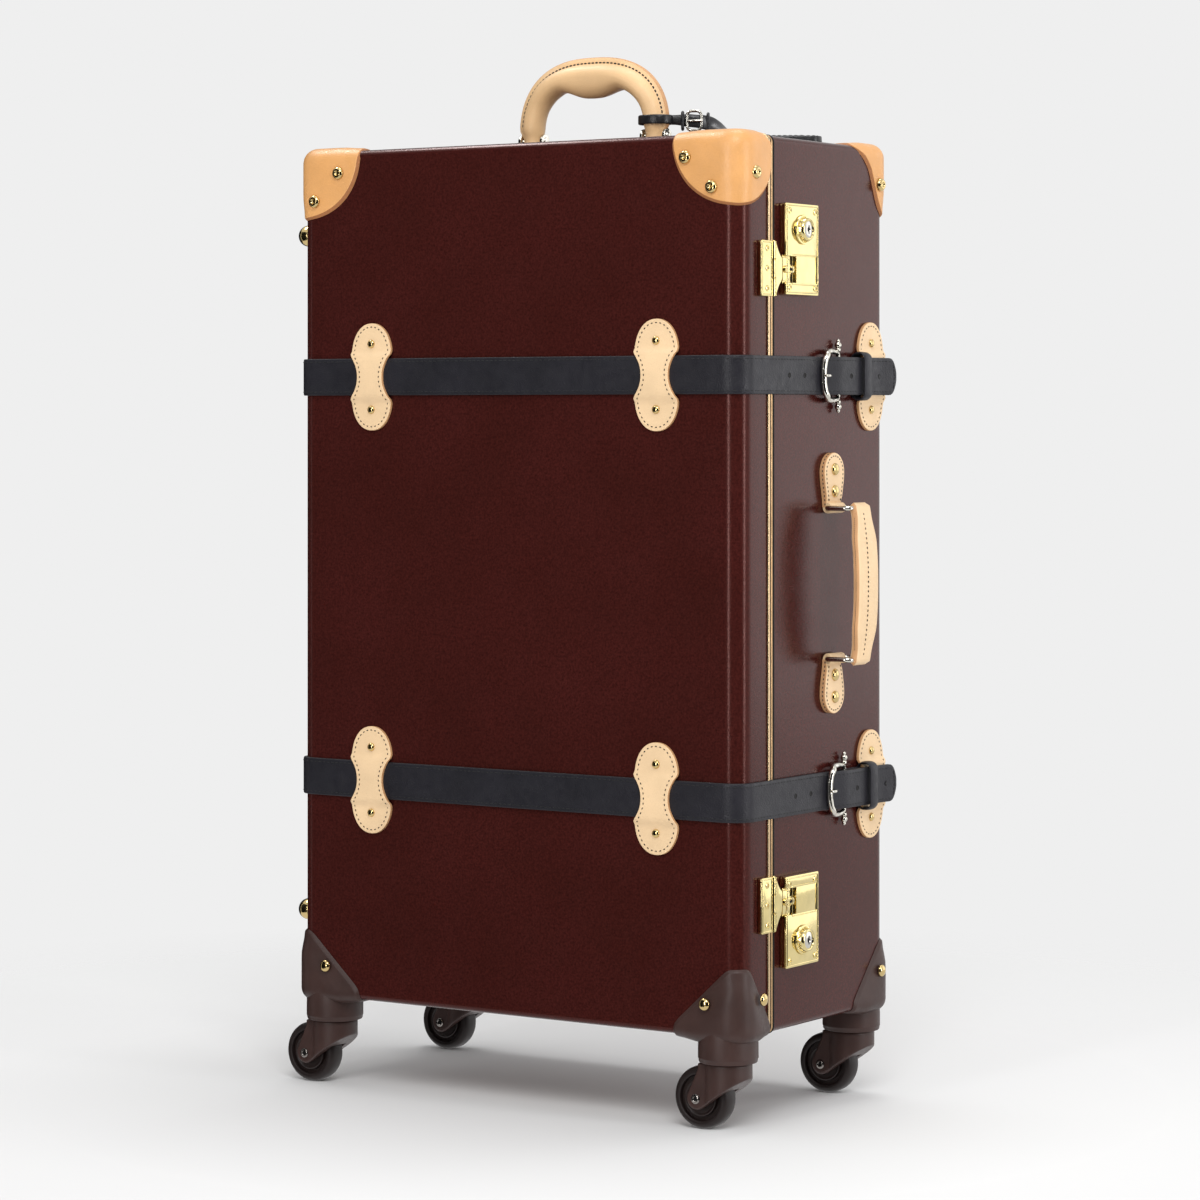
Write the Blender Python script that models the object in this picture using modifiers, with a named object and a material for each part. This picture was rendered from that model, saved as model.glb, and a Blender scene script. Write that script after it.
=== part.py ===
"""Spinner suitcase: a two-part hard case with straps, turn-knob locks and swivelling casters.

Metres, +Z up, front of the lid towards -Y, locks and side handle on +X, hinges on -X.
"""
import math

import bmesh
import bpy
from mathutils import Matrix, Vector

# Fits
GAP = 0.0003
RUN_GAP = 0.0003
WELD = 0.000001
SMOOTH = math.radians(35)

# Case
BODY_W = 0.455
BODY_D = 0.240
BODY_H = 0.740
LID_D = 0.047
WALL = 0.0045
CORNER_R = 0.016
EDGE_R = 0.006
CORNER_STEPS = 3
EDGE_STEPS = 2

# Metal rim on the mouth of the lid
RIM_W = 0.006
TONGUE_T = 0.0016
TONGUE_GAP = 0.0005
TONGUE_IN = 0.008
TONGUE_OUT = 0.006
RIM_STEPS = 2

# Leather caps on the upper corners
CAP_T = 0.0032
CAP_REACH = 0.067
CAP_DROP = 0.058
CAP_REACH_BASE = 0.059
CAP_REACH_LID = 0.052
CAP_SEAM = 0.001
CAP_SIDES = 24

# Guards on the lower corners
GUARD_T = 0.005
GUARD_REACH = 0.065
GUARD_REACH_BASE = 0.058
GUARD_RISE = 0.057
GUARD_FOOT = 0.009
GUARD_CROWN = 0.013
GUARD_ROUND = 0.007
GUARD_STEPS = 2
COLLAR_R = 0.0245
COLLAR_H = 0.0162
COLLAR_CHAMFER = 0.0012

# Casters
WHEEL_R = 0.026
WHEEL_W = 0.018
WHEEL_TOP_GAP = 0.0015
WHEEL_SIDE_GAP = 0.0008
TYRE_DEPTH = 0.007
TYRE_ROUND = 0.004
HUB_R = 0.0152
HUB_SINK = 0.0008
WEB_T = 0.010
TRAIL = 0.022
CASTER_INSET_X = 0.024
CASTER_INSET_Y = 0.019
CROWN_R = 0.020
CROWN_T = 0.0027
CROWN_DROP = 0.012
ARM_TOP = 0.014
ARM_T = 0.0055
BOSS_R = 0.010
AXLE_R = 0.003
RIVET_R = 0.0052
RIVET_H = 0.0012
STEM_R = 0.005
STEM_L = 0.016
WHEEL_STEPS = 20
ROUND_STEPS = 14
PIN_STEPS = 8

# Dome feet on the hinge side
FOOT_R = 0.0095
FOOT_H = 0.022
FOOT_FLANGE = 0.0015
FOOT_FLANGE_T = 0.0018
FOOT_Z = 0.072
FOOT_STEPS = 10

# Case hinges
HINGE_OFF = 0.005
HINGE_Z = 0.130
HINGE_H = 0.066
HINGE_LEAF = 0.022
HINGE_T = 0.002
HINGE_R = 0.0036
HINGE_PIN = 0.0018
KNUCKLE_GAP = 0.0004
NOTCH_GAP = 0.0006

# Straps
STRAP_W = 0.032
STRAP_T = 0.003
STRAP_UP = 0.1975
STRAP_LOW = 0.193
STRAP_SPLIT = 0.001
STRAP_TIP = 0.117
TIP_RUN = 0.026
TIP_FLARE = 0.007
BUCKLE_UP_Y = 0.030
BUCKLE_LOW_Y = 0.040
RAMP_RUN = 0.030
RAMP_LEAD = 0.004
RAMP_STEPS = 7
BAR_R = 0.0018
EYE_T = 0.0016
EYE_STEPS = 9
LOOP_BAND_T = 0.0022
LOOP_BAND_W = 0.012
LOOP_BAND_Y = 0.033
LOOP_BAND_GAP = 0.0006
LOOP_BAND_R = 0.002

# Buckles
BUCKLE_L = 0.021
BUCKLE_CLEAR = 0.0008
BUCKLE_LIFT = 0.0010
BUCKLE_WIRE = 0.0022
BUCKLE_FRONT_R = 0.003
BUCKLE_ROUND = 0.006
BUCKLE_HEEL_R = 0.0022
FINIAL_R = 0.0032
FINIAL_NECK = 0.0013
FINIAL_OUT = 0.0045
PRONG_R = 0.0013
PRONG_EYE_T = 0.0015
PRONG_EYE_W = 0.004
PRONG_OVER = 0.0035
PRONG_SLOT = 0.0022

# Leather keepers over the straps
KEEPER_T = 0.0025
KEEPER_X = 0.0805
KEEPER_TIP = 0.0465
KEEPER_LOBE_Z = 0.029
KEEPER_LOBE_W = 0.0215
KEEPER_WAIST_W = 0.0135
KEEPER_SHOULDER = 0.0205
KEEPER_RAMP = 0.007
KEEPER_ROWS = 9
KEEPER_END = 0.35

# Locks and hasps
LOCK_W = 0.053
LOCK_H = 0.076
LOCK_T = 0.0065
LOCK_R = 0.003
LOCK_SEAM = 0.013
LOCK_TOP = 0.055
LOCK_BOTTOM = 0.052
LOCK_BEVEL = 0.0008
KNOB_OFFSET = 0.0165
KNOB_R = 0.0125
KNOB_T = 0.003
BARREL_R = 0.0088
BARREL_T = 0.0095
KNOB_EDGE = 0.001
KEY_W = 0.0018
KEY_H = 0.0075
KEY_DEPTH = 0.003
HASP_OFFSET = -0.017
HASP_H = 0.046
HASP_T = 0.0020
HASP_LEAF_T = 0.0041
HASP_LEAF = 0.020
HASP_BACK = 0.002
HASP_R = 0.0022
HASP_PIN = 0.0011
HASP_TONGUE = 0.031
HASP_TIP_H = 0.020
HASP_SHOULDER = 0.013
HASP_FINGER = 0.007
HASP_FINGER_H = 0.008
POCKET_GAP = 0.0008

# Side handle
SIDE_Y = 0.022
SIDE_EYE_Z = 0.11125
TAB_T = 0.003
TAB_R = 0.0165
TAB_L = 0.030
TAB_NECK = 0.0120
RING_WIRE = 0.0022
RING_REACH = 0.024
RING_ARM_GAP = 0.0015
RING_ROUND = 0.0035
LOOP_T = 0.0022
GRIP_HALF_W = 0.0165
GRIP_EASE = 0.014
GRIP_BEVEL = 0.0025
TAB_STEPS = 8

# Top handle
HANDLE_Y = 0.005
HANDLE_HALF = 0.064
HANDLE_RISE = 0.055
HANDLE_POWER = 2.6
HANDLE_FOOT_R = 0.0100
HANDLE_GRIP_R = 0.0170
HANDLE_NECK_R = 0.0078
HANDLE_HEEL = 0.005
HANDLE_HEEL_R = 0.0055
HANDLE_POINTS = 15
PIN_H = 0.011
PIN_R = 0.0025
EAR_T = 0.003
EAR_R = 0.006
EAR_BASE = 0.012
EAR_FLOOR = 0.002
EAR_GAP = 0.0022

# Luggage tag
TAG_ANGLE = math.radians(30)
TAG_L = 0.100
TAG_W = 0.056
TAG_T = 0.005
TAG_R = 0.010
TAG_STRAP_T = 0.0025
TAG_STRAP_W = 0.011
TAG_LOOP_GAP = 0.0048
TAG_LOOP_SIDE = 0.0020
TAG_LOOP_T = 0.0018
TAG_LOOP_LIFT = 0.0040
TAG_LEAD = 0.026
TAG_LAP = 0.012

# Pull handle
PULL_INSET = 0.030
PULL_GRIP_L = 0.150
PULL_GRIP_W = 0.026
PULL_GRIP_H = 0.017
PULL_GRIP_R = 0.011
PULL_PROUD = 0.001
TRAY_WALL = 0.002
TRAY_GAP = 0.0025
TRAY_FLANGE = 0.005
TRAY_FLANGE_T = 0.0016
TUBE_SPAN = 0.112
TUBE_R = 0.0055
TUBE_L = 0.550
CHANNEL_WALL = 0.002
CHANNEL_FOOT = 0.006
CHANNEL_SOLE = 0.010
BUTTON_L = 0.034
BUTTON_W = 0.012
BUTTON_H = 0.006
BUTTON_PROUD = 0.0035
BUTTON_R = 0.005

# Places that follow from the sizes
CROWN_TOP = 2 * WHEEL_R + WHEEL_TOP_GAP + CROWN_T
BOTTOM = CROWN_TOP + GAP + COLLAR_H + GUARD_T + GAP
TOP = BOTTOM + BODY_H
HALF_W = BODY_W / 2
FRONT = -BODY_D / 2
BACK = BODY_D / 2
SEAM = FRONT + LID_D
GUARD_UNDER = BOTTOM - GAP - GUARD_T
STRAP_UP_Z = TOP - STRAP_UP
STRAP_LOW_Z = BOTTOM + STRAP_LOW
SIDE_Z = (STRAP_UP_Z + STRAP_LOW_Z) / 2
SIDE_HALF = (STRAP_UP_Z - STRAP_LOW_Z) / 2 - SIDE_EYE_Z
HINGE_AXIS = Vector((-HALF_W - HINGE_OFF, SEAM, 0))
FORK_SLOT = WHEEL_W + 2 * WHEEL_SIDE_GAP
FORK_W = FORK_SLOT + 2 * ARM_T
EYE_R = BAR_R + RUN_GAP + EYE_T
EYE_OUT = GAP + EYE_R
STRAP_RISE = GAP + 2 * EYE_R + GAP
LOOP_R = RING_WIRE + RUN_GAP + LOOP_T
LOOP_OUT = GAP + LOOP_R
RING_END = LOOP_OUT + RING_REACH
LOOP_W = 2 * TAB_NECK
RING_SPAN = LOOP_W + 2 * (RING_ARM_GAP + RING_WIRE)
HANDLE_PIVOT = Vector((0, HANDLE_Y, TOP + PIN_H))
HASP_AXIS_Y = SEAM - HASP_BACK
HASP_AXIS_OUT = GAP + HASP_LEAF_T - HASP_T / 2
PULL_Y = BACK - PULL_INSET

# How far the pieces stand out of the case on each side, to centre the model on its base
REACH_RIGHT = RING_END + LOOP_R
REACH_LEFT = max(FOOT_H + GAP, TRAIL + WHEEL_R - CASTER_INSET_X)
ROOT_SHIFT = Vector(((REACH_LEFT - REACH_RIGHT) / 2, 0, 0))

# Colours, roughness, metallic
BURGUNDY = ((0.045, 0.010, 0.011), 0.34, 0.0)
GOLD = ((0.80, 0.66, 0.40), 0.28, 1.0)
BRASS = ((0.83, 0.66, 0.28), 0.20, 1.0)
NICKEL = ((0.75, 0.73, 0.69), 0.22, 1.0)
TAN = ((0.72, 0.44, 0.22), 0.50, 0.0)
PALE_TAN = ((0.82, 0.60, 0.36), 0.52, 0.0)
NAVY = ((0.012, 0.013, 0.022), 0.42, 0.0)
BLACK = ((0.010, 0.010, 0.011), 0.38, 0.0)
BROWN = ((0.045, 0.024, 0.022), 0.45, 0.0)
DARK_BROWN = ((0.028, 0.016, 0.015), 0.50, 0.0)
STEEL = ((0.62, 0.62, 0.63), 0.25, 1.0)

for old in list(bpy.data.objects):
    bpy.data.objects.remove(old, do_unlink=True)
PARTS = bpy.data.collections.new("spinner_suitcase")
CUTTERS = bpy.data.collections.new("cutters")
for group in (PARTS, CUTTERS):
    bpy.context.scene.collection.children.link(group)


def pivot(name, place, parent=None):
    """An empty that carries a body; its own location is on the body's joint axis."""
    empty = bpy.data.objects.new(name, None)
    PARTS.objects.link(empty)
    empty["rest"] = tuple(place)
    empty.parent = parent
    origin = Vector(parent["rest"]) if parent else -ROOT_SHIFT
    empty.location = Vector(place) - origin
    return empty


def object_of(name, shape, carrier, group):
    mesh = bpy.data.meshes.new(name)
    bmesh.ops.recalc_face_normals(shape, faces=shape.faces)
    shape.to_mesh(mesh)
    shape.free()
    mesh.shade_smooth()
    mesh.set_sharp_from_angle(angle=SMOOTH)
    made = bpy.data.objects.new(name, mesh)
    group.objects.link(made)
    made.parent = carrier
    made.location = -Vector(carrier["rest"])
    return made


def part(name, shape, look, carrier):
    """One named piece with its own material."""
    made = object_of(name, shape, carrier, PARTS)
    colour, roughness, metallic = look
    paint = bpy.data.materials.new(name)
    paint.use_nodes = True
    shader = paint.node_tree.nodes["Principled BSDF"]
    shader.inputs["Base Color"].default_value = (*colour, 1.0)
    shader.inputs["Roughness"].default_value = roughness
    shader.inputs["Metallic"].default_value = metallic
    made.data.materials.append(paint)
    return made


def boolean(target, tool, operation):
    """Cut, join or trim a piece with a hidden helper."""
    label = f"{target.name}.{operation.lower()}.{len(target.modifiers)}"
    helper = object_of(label, tool, target.parent, CUTTERS)
    helper.hide_render = True
    helper.display_type = "WIRE"
    step = target.modifiers.new(operation.lower(), "BOOLEAN")
    step.operation = operation
    step.solver = "EXACT"
    step.object = helper


def bevel(target, width, segments):
    step = target.modifiers.new("bevel", "BEVEL")
    step.width = width
    step.segments = segments
    step.limit_method = "ANGLE"
    step.angle_limit = SMOOTH


def axes(origin, u, v):
    """Matrix of a drawing plane: u and v in the plane, the third axis out of it."""
    across = Vector(u)
    along = Vector(v)
    frame = Matrix((across, along, across.cross(along))).transposed().to_4x4()
    frame.translation = Vector(origin)
    return frame


def plan(z=0.0):
    return axes((0, 0, z), (1, 0, 0), (0, 1, 0))


def front_face(x=0.0, z=0.0):
    return axes((x, FRONT, z), (1, 0, 0), (0, 0, 1))


def right_face(y=0.0, z=0.0):
    return axes((HALF_W, y, z), (0, 1, 0), (0, 0, 1))


def left_face(y=0.0, z=0.0):
    return axes((-HALF_W, y, z), (0, -1, 0), (0, 0, 1))


def evaluated(guide):
    """The closed shape that a guide object makes; the guide is then removed."""
    CUTTERS.objects.link(guide)
    graph = bpy.context.evaluated_depsgraph_get()
    mesh = bpy.data.meshes.new_from_object(guide.evaluated_get(graph))
    bpy.data.objects.remove(guide)
    shape = bmesh.new()
    shape.from_mesh(mesh)
    bpy.data.meshes.remove(mesh)
    bmesh.ops.remove_doubles(shape, verts=shape.verts, dist=WELD)
    bmesh.ops.recalc_face_normals(shape, faces=shape.faces)
    return shape


def plate(loops, low, high, frame):
    """A flat outline, with holes after the first loop, from height low to high over its plane."""
    curve = bpy.data.curves.new("outline", "CURVE")
    curve.dimensions = "2D"
    curve.fill_mode = "BOTH"
    curve.extrude = (high - low) / 2
    for loop in loops:
        spline = curve.splines.new("POLY")
        spline.points.add(len(loop) - 1)
        for point, (u, v) in zip(spline.points, loop):
            point.co = (u, v, 0, 1)
        spline.use_cyclic_u = True
    shape = evaluated(bpy.data.objects.new("outline", curve))
    lift = Matrix.Translation((0, 0, (high + low) / 2))
    bmesh.ops.transform(shape, matrix=frame @ lift, verts=shape.verts)
    return shape


def tube(points, radii, resolution, closed=False):
    """A round bar along points, with a radius at each."""
    curve = bpy.data.curves.new("bar", "CURVE")
    curve.dimensions = "3D"
    curve.bevel_depth = max(radii)
    curve.bevel_resolution = resolution
    curve.use_fill_caps = not closed
    spline = curve.splines.new("POLY")
    spline.points.add(len(points) - 1)
    for point, place, radius in zip(spline.points, points, radii):
        point.co = (*place, 1)
        point.radius = radius / max(radii)
    spline.use_cyclic_u = closed
    return evaluated(bpy.data.objects.new("bar", curve))


def turned(profile, steps, frame, ring=False):
    """A profile of (radius, height) points, top to bottom, turned about the plane's third axis."""
    mesh = bpy.data.meshes.new("profile")
    count = len(profile)
    edges = [(i, (i + 1) % count) for i in range(count if ring else count - 1)]
    mesh.from_pydata([(radius, 0, height) for radius, height in profile], edges, [])
    guide = bpy.data.objects.new("profile", mesh)
    step = guide.modifiers.new("turn", "SCREW")
    step.steps = steps
    step.render_steps = steps
    step.use_merge_vertices = True
    step.merge_threshold = WELD
    shape = evaluated(guide)
    bmesh.ops.transform(shape, matrix=frame, verts=shape.verts)
    return shape


def box(low, high):
    shape = bmesh.new()
    low = Vector(low)
    high = Vector(high)
    fit = Matrix.Translation((low + high) / 2) @ Matrix.Diagonal((*(high - low), 1))
    bmesh.ops.create_cube(shape, size=1, matrix=fit)
    return shape


def cylinder(radius, low, high, frame, steps=PIN_STEPS):
    shape = bmesh.new()
    lift = Matrix.Translation((0, 0, (low + high) / 2))
    bmesh.ops.create_cone(
        shape,
        cap_ends=True,
        segments=steps,
        radius1=radius,
        radius2=radius,
        depth=high - low,
        matrix=frame @ lift,
    )
    return shape


def arc(centre, radius, start, end, steps):
    """Points of an arc, both ends included; angles in degrees."""
    turns = [math.radians(start + (end - start) * i / steps) for i in range(steps + 1)]
    return [(centre[0] + radius * math.cos(t), centre[1] + radius * math.sin(t)) for t in turns]


def rounded_rect(width, height, radius, steps):
    u = width / 2 - radius
    v = height / 2 - radius
    points = []
    for quarter, (su, sv) in enumerate(((1, 1), (-1, 1), (-1, -1), (1, -1))):
        points += arc((su * u, sv * v), radius, 90 * quarter, 90 * quarter + 90, steps)
    return points


def ease(value, start, end):
    """Smooth step from 0 at start to 1 at end."""
    t = min(max((value - start) / (end - start), 0), 1)
    return t * t * (3 - 2 * t)


def rounded_block(low, high, corner_r, edge_r, mouth=0):
    """Box with round upright edges and softer round rims; mouth -1 or 1 opens the -Y or +Y side."""
    shape = box(low, high)
    mouth_y = low[1] if mouth < 0 else high[1]

    def at_mouth(edge):
        return mouth != 0 and all(abs(v.co.y - mouth_y) < WELD for v in edge.verts)

    def upright(edge):
        return abs(edge.verts[0].co.z - edge.verts[1].co.z) > WELD

    bmesh.ops.bevel(
        shape,
        geom=[e for e in shape.edges if upright(e) and not at_mouth(e)],
        offset=corner_r,
        offset_type="OFFSET",
        segments=CORNER_STEPS,
        profile=0.5,
        affect="EDGES",
    )
    shape.normal_update()
    level = [f for f in shape.faces if abs(f.normal.z) > 0.5]
    bmesh.ops.bevel(
        shape,
        geom=[e for e in {e for f in level for e in f.edges} if not at_mouth(e)],
        offset=edge_r,
        offset_type="OFFSET",
        segments=EDGE_STEPS,
        profile=0.5,
        affect="EDGES",
    )
    if mouth:
        open_face = [f for f in shape.faces if all(abs(v.co.y - mouth_y) < WELD for v in f.verts)]
        bmesh.ops.delete(shape, geom=open_face, context="FACES_ONLY")
    return shape


def body_block(offset):
    """The closed case, grown by an offset on every side."""
    low = (-HALF_W - offset, FRONT - offset, BOTTOM - offset)
    high = (HALF_W + offset, BACK + offset, TOP + offset)
    return rounded_block(low, high, CORNER_R + offset, EDGE_R + offset)


def shell(name, low, high, mouth, carrier):
    made = part(name, rounded_block(low, high, CORNER_R, EDGE_R, mouth), BURGUNDY, carrier)
    skin = made.modifiers.new("wall", "SOLIDIFY")
    skin.thickness = WALL
    skin.offset = -1
    skin.use_even_offset = True
    return made


def ring_loops(inset, thickness):
    """Outline and hole of a frame that follows the mouth of the case."""
    radius = max(EDGE_R - inset, EDGE_R / 4)
    inner = max(radius - thickness, EDGE_R / 8)
    outer = rounded_rect(BODY_W - 2 * inset, BODY_H - 2 * inset, radius, EDGE_STEPS)
    deep = inset + thickness
    return [outer, rounded_rect(BODY_W - 2 * deep, BODY_H - 2 * deep, inner, EDGE_STEPS)]


def make_shells(base, lid):
    case = shell("base_shell", (-HALF_W, SEAM + GAP, BOTTOM), (HALF_W, BACK, TOP), -1, base)
    length, width = tray_size()
    hole = rounded_rect(length + 2 * GAP, width + 2 * GAP, PULL_GRIP_R + TRAY_GAP + TRAY_WALL, RIM_STEPS)
    hole = [(x, y + PULL_Y) for x, y in hole]
    boolean(case, plate([hole], -WALL - EDGE_R, EDGE_R, plan(TOP)), "DIFFERENCE")
    mouth = SEAM - RIM_W - GAP
    shell("lid_shell", (-HALF_W, FRONT, BOTTOM), (HALF_W, mouth, TOP), 1, lid)
    middle = front_face(0, BOTTOM + BODY_H / 2)
    depth = WALL + TONGUE_GAP + TONGUE_T
    rim = part("lid_rim", plate(ring_loops(0, depth), -LID_D, RIM_W - LID_D, middle), GOLD, lid)
    tongue = plate(
        ring_loops(WALL + TONGUE_GAP, TONGUE_T),
        -LID_D - TONGUE_OUT,
        RIM_W + TONGUE_IN - LID_D,
        middle,
    )
    boolean(rim, tongue, "UNION")


def corner_cap(name, sx, sy, reach, carrier):
    """Moulded leather over three faces of an upper corner, trimmed to a round shield short of the seam."""
    cap = part(name, body_block(GAP + CAP_T), TAN, carrier)
    trim = bmesh.new()
    place = Matrix.Translation((sx * HALF_W, sy * BODY_D / 2, TOP))
    bmesh.ops.create_uvsphere(
        trim,
        u_segments=CAP_SIDES,
        v_segments=CAP_SIDES // 2,
        radius=1,
        matrix=place @ Matrix.Diagonal((CAP_REACH, reach, CAP_DROP, 1)),
    )
    boolean(cap, trim, "INTERSECT")
    boolean(cap, body_block(GAP), "DIFFERENCE")
    if sy < 0:
        beyond = box((-BODY_W, SEAM - CAP_SEAM, BOTTOM), (BODY_W, BACK, 2 * TOP))
        boolean(cap, beyond, "DIFFERENCE")


def guard_trim(sx, sy, reach):
    """Block round a lower corner with one slanting face, rounded where the slant meets the sides."""
    out = GUARD_T + CAP_T
    shape = box((-out, -out, -out), (GUARD_REACH, reach, GUARD_RISE))
    area = GUARD_REACH * GUARD_RISE - GUARD_FOOT * GUARD_CROWN
    slope = Vector((GUARD_RISE - GUARD_FOOT, 0, GUARD_REACH - GUARD_CROWN)) / area
    slope.y = (1 - GUARD_FOOT * slope.z) / reach
    cut = bmesh.ops.bisect_plane(
        shape,
        geom=[*shape.verts, *shape.edges, *shape.faces],
        dist=WELD,
        plane_co=(GUARD_REACH, 0, GUARD_FOOT),
        plane_no=slope.normalized(),
        clear_outer=True,
    )
    rim = [e for e in cut["geom_cut"] if isinstance(e, bmesh.types.BMEdge)]
    slant = bmesh.ops.holes_fill(shape, edges=rim)["faces"]
    bmesh.ops.bevel(
        shape,
        geom=[e for f in slant for e in f.edges],
        offset=GUARD_ROUND,
        offset_type="OFFSET",
        segments=GUARD_STEPS,
        profile=0.5,
        affect="EDGES",
        clamp_overlap=True,
    )
    corner = Matrix.Translation((sx * HALF_W, sy * BODY_D / 2, BOTTOM))
    bmesh.ops.transform(shape, matrix=corner @ Matrix.Diagonal((-sx, -sy, 1, 1)), verts=shape.verts)
    return shape


def caster_place(sx, sy):
    return Vector((sx * (HALF_W - CASTER_INSET_X), sy * (BODY_D / 2 - CASTER_INSET_Y), 0))


def corner_guard(name, sx, sy, reach, carrier):
    """Plastic guard over a lower corner with the collar that holds a caster's stem."""
    guard = part(name, body_block(GAP + GUARD_T), BROWN, carrier)
    boolean(guard, guard_trim(sx, sy, reach), "INTERSECT")
    boolean(guard, body_block(GAP), "DIFFERENCE")
    upright = axes(caster_place(sx, sy), (1, 0, 0), (0, 1, 0))
    low = GUARD_UNDER - COLLAR_H
    collar = [
        (0, GUARD_UNDER + GUARD_T / 2),
        (COLLAR_R, GUARD_UNDER + GUARD_T / 2),
        (COLLAR_R, low + COLLAR_CHAMFER),
        (COLLAR_R - COLLAR_CHAMFER, low),
        (0, low),
    ]
    boolean(guard, turned(collar, ROUND_STEPS, upright), "UNION")
    socket = cylinder(STEM_R + RUN_GAP, low - COLLAR_H, low + STEM_L + GAP, upright, ROUND_STEPS)
    boolean(guard, socket, "DIFFERENCE")


def tangent(point, centre, radius, side):
    """Angle, in degrees, where a line from a point touches a circle, left (1) or right (-1)."""
    du = point[0] - centre[0]
    dv = point[1] - centre[1]
    return math.degrees(math.atan2(dv, du) + side * math.acos(radius / math.hypot(du, dv)))


def caster(label, sx, sy, carrier):
    """Swivelling fork with its riveted axle, and the wheel that spins on it."""
    place = caster_place(sx, sy)
    swivel = pivot(f"{label}_swivel", place, carrier)
    hub = pivot(f"{label}_spin", place + Vector((-TRAIL, 0, WHEEL_R)), swivel)
    side = axes(place, (1, 0, 0), (0, 0, 1))
    boss = (-TRAIL, WHEEL_R)
    crown_low = CROWN_TOP - CROWN_T
    left = (-ARM_TOP, crown_low)
    right = (ARM_TOP, CROWN_TOP - CROWN_DROP)
    start = tangent(left, boss, BOSS_R, 1)
    end = tangent(right, boss, BOSS_R, -1) + 360
    middle = CROWN_TOP - CROWN_T / 2
    outline = [(ARM_TOP, middle), (-ARM_TOP, middle), *arc(boss, BOSS_R, start, end, TAB_STEPS), right]
    fork = part(f"{label}_fork", plate([outline], -FORK_W / 2, FORK_W / 2, side), BROWN, swivel)
    upright = axes(place, (1, 0, 0), (0, 1, 0))
    stem = [
        (0, CROWN_TOP + STEM_L),
        (STEM_R, CROWN_TOP + STEM_L),
        (STEM_R, CROWN_TOP),
        (CROWN_R, CROWN_TOP),
        (CROWN_R, crown_low),
        (0, crown_low),
    ]
    boolean(fork, turned(stem, ROUND_STEPS, upright), "UNION")
    ahead = WHEEL_R - TRAIL + WHEEL_TOP_GAP
    slot = box(
        (-TRAIL - 2 * WHEEL_R, -FORK_SLOT / 2, -WHEEL_R),
        (ahead, FORK_SLOT / 2, crown_low),
    )
    bmesh.ops.translate(slot, vec=place, verts=slot.verts)
    boolean(fork, slot, "DIFFERENCE")
    across = axes(place + Vector((-TRAIL, 0, WHEEL_R)), (1, 0, 0), (0, 0, 1))
    head = FORK_W / 2 + RIVET_H
    neck = FORK_W / 2 - RIVET_H
    axle = [(0, head), (RIVET_R, head), (RIVET_R, neck), (AXLE_R, neck)]
    axle += [(radius, -height) for radius, height in reversed(axle)]
    boolean(fork, turned(axle, PIN_STEPS, across), "UNION")
    half = WHEEL_W / 2
    rim = WHEEL_R - TYRE_DEPTH
    wheel = [
        (AXLE_R + RUN_GAP, half - HUB_SINK),
        (HUB_R, half - HUB_SINK),
        (HUB_R, WEB_T / 2),
        (rim, WEB_T / 2),
        (rim, half),
        (WHEEL_R - TYRE_ROUND, half),
        (WHEEL_R, half - TYRE_ROUND),
    ]
    wheel += [(radius, -height) for radius, height in reversed(wheel)]
    part(f"{label}_wheel", turned(wheel, WHEEL_STEPS, across, True), DARK_BROWN, hub)


def dome_foot(name, y, z, carrier):
    """Turned brass foot with a round nose, on the hinge side."""
    nose = arc((0, FOOT_H - FOOT_R), FOOT_R, 90, 0, FOOT_STEPS // 4)
    skirt = FOOT_R + FOOT_FLANGE
    profile = nose + [(FOOT_R, FOOT_FLANGE_T), (skirt, FOOT_FLANGE_T), (skirt, 0), (0, 0)]
    frame = left_face(y, z) @ Matrix.Translation((0, 0, GAP))
    part(name, turned(profile, FOOT_STEPS, frame), BRASS, carrier)


def barrel_set(target, frame, out, radius, spans, pin=0.0, bore=0.0):
    """Join hinge knuckles to a leaf, then a pin through all of them or a bore for one."""
    line = frame @ Matrix.Translation((0, 0, out)) @ Matrix.Rotation(-math.pi / 2, 4, "X")
    for low, high in spans:
        boolean(target, cylinder(radius, low, high, line), "UNION")
    low = min(span[0] for span in spans)
    high = max(span[1] for span in spans)
    if pin:
        boolean(target, cylinder(pin, low + GAP, high - GAP, line), "UNION")
    if bore:
        boolean(target, cylinder(bore, low - radius, high + radius, line), "DIFFERENCE")


def knuckles(height):
    """The outer two spans and the middle span of a three-knuckle barrel."""
    third = height / 6
    outer = [(-height / 2, -third - KNUCKLE_GAP / 2), (third + KNUCKLE_GAP / 2, height / 2)]
    return outer, [(-third + KNUCKLE_GAP / 2, third - KNUCKLE_GAP / 2)]


def leaf_outline(width, height, notch, sign, outer):
    """Leaf that reaches the barrel beside its own knuckles and stands back from the others'."""
    half = height / 2
    third = height / 6 + (NOTCH_GAP if outer else -NOTCH_GAP)
    near, far = (notch, GAP) if outer else (GAP, notch)
    points = [
        (width, -half),
        (width, half),
        (far, half),
        (far, third),
        (near, third),
        (near, -third),
        (far, -third),
        (far, -half),
    ]
    return [(sign * u, v) for u, v in points]


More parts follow.
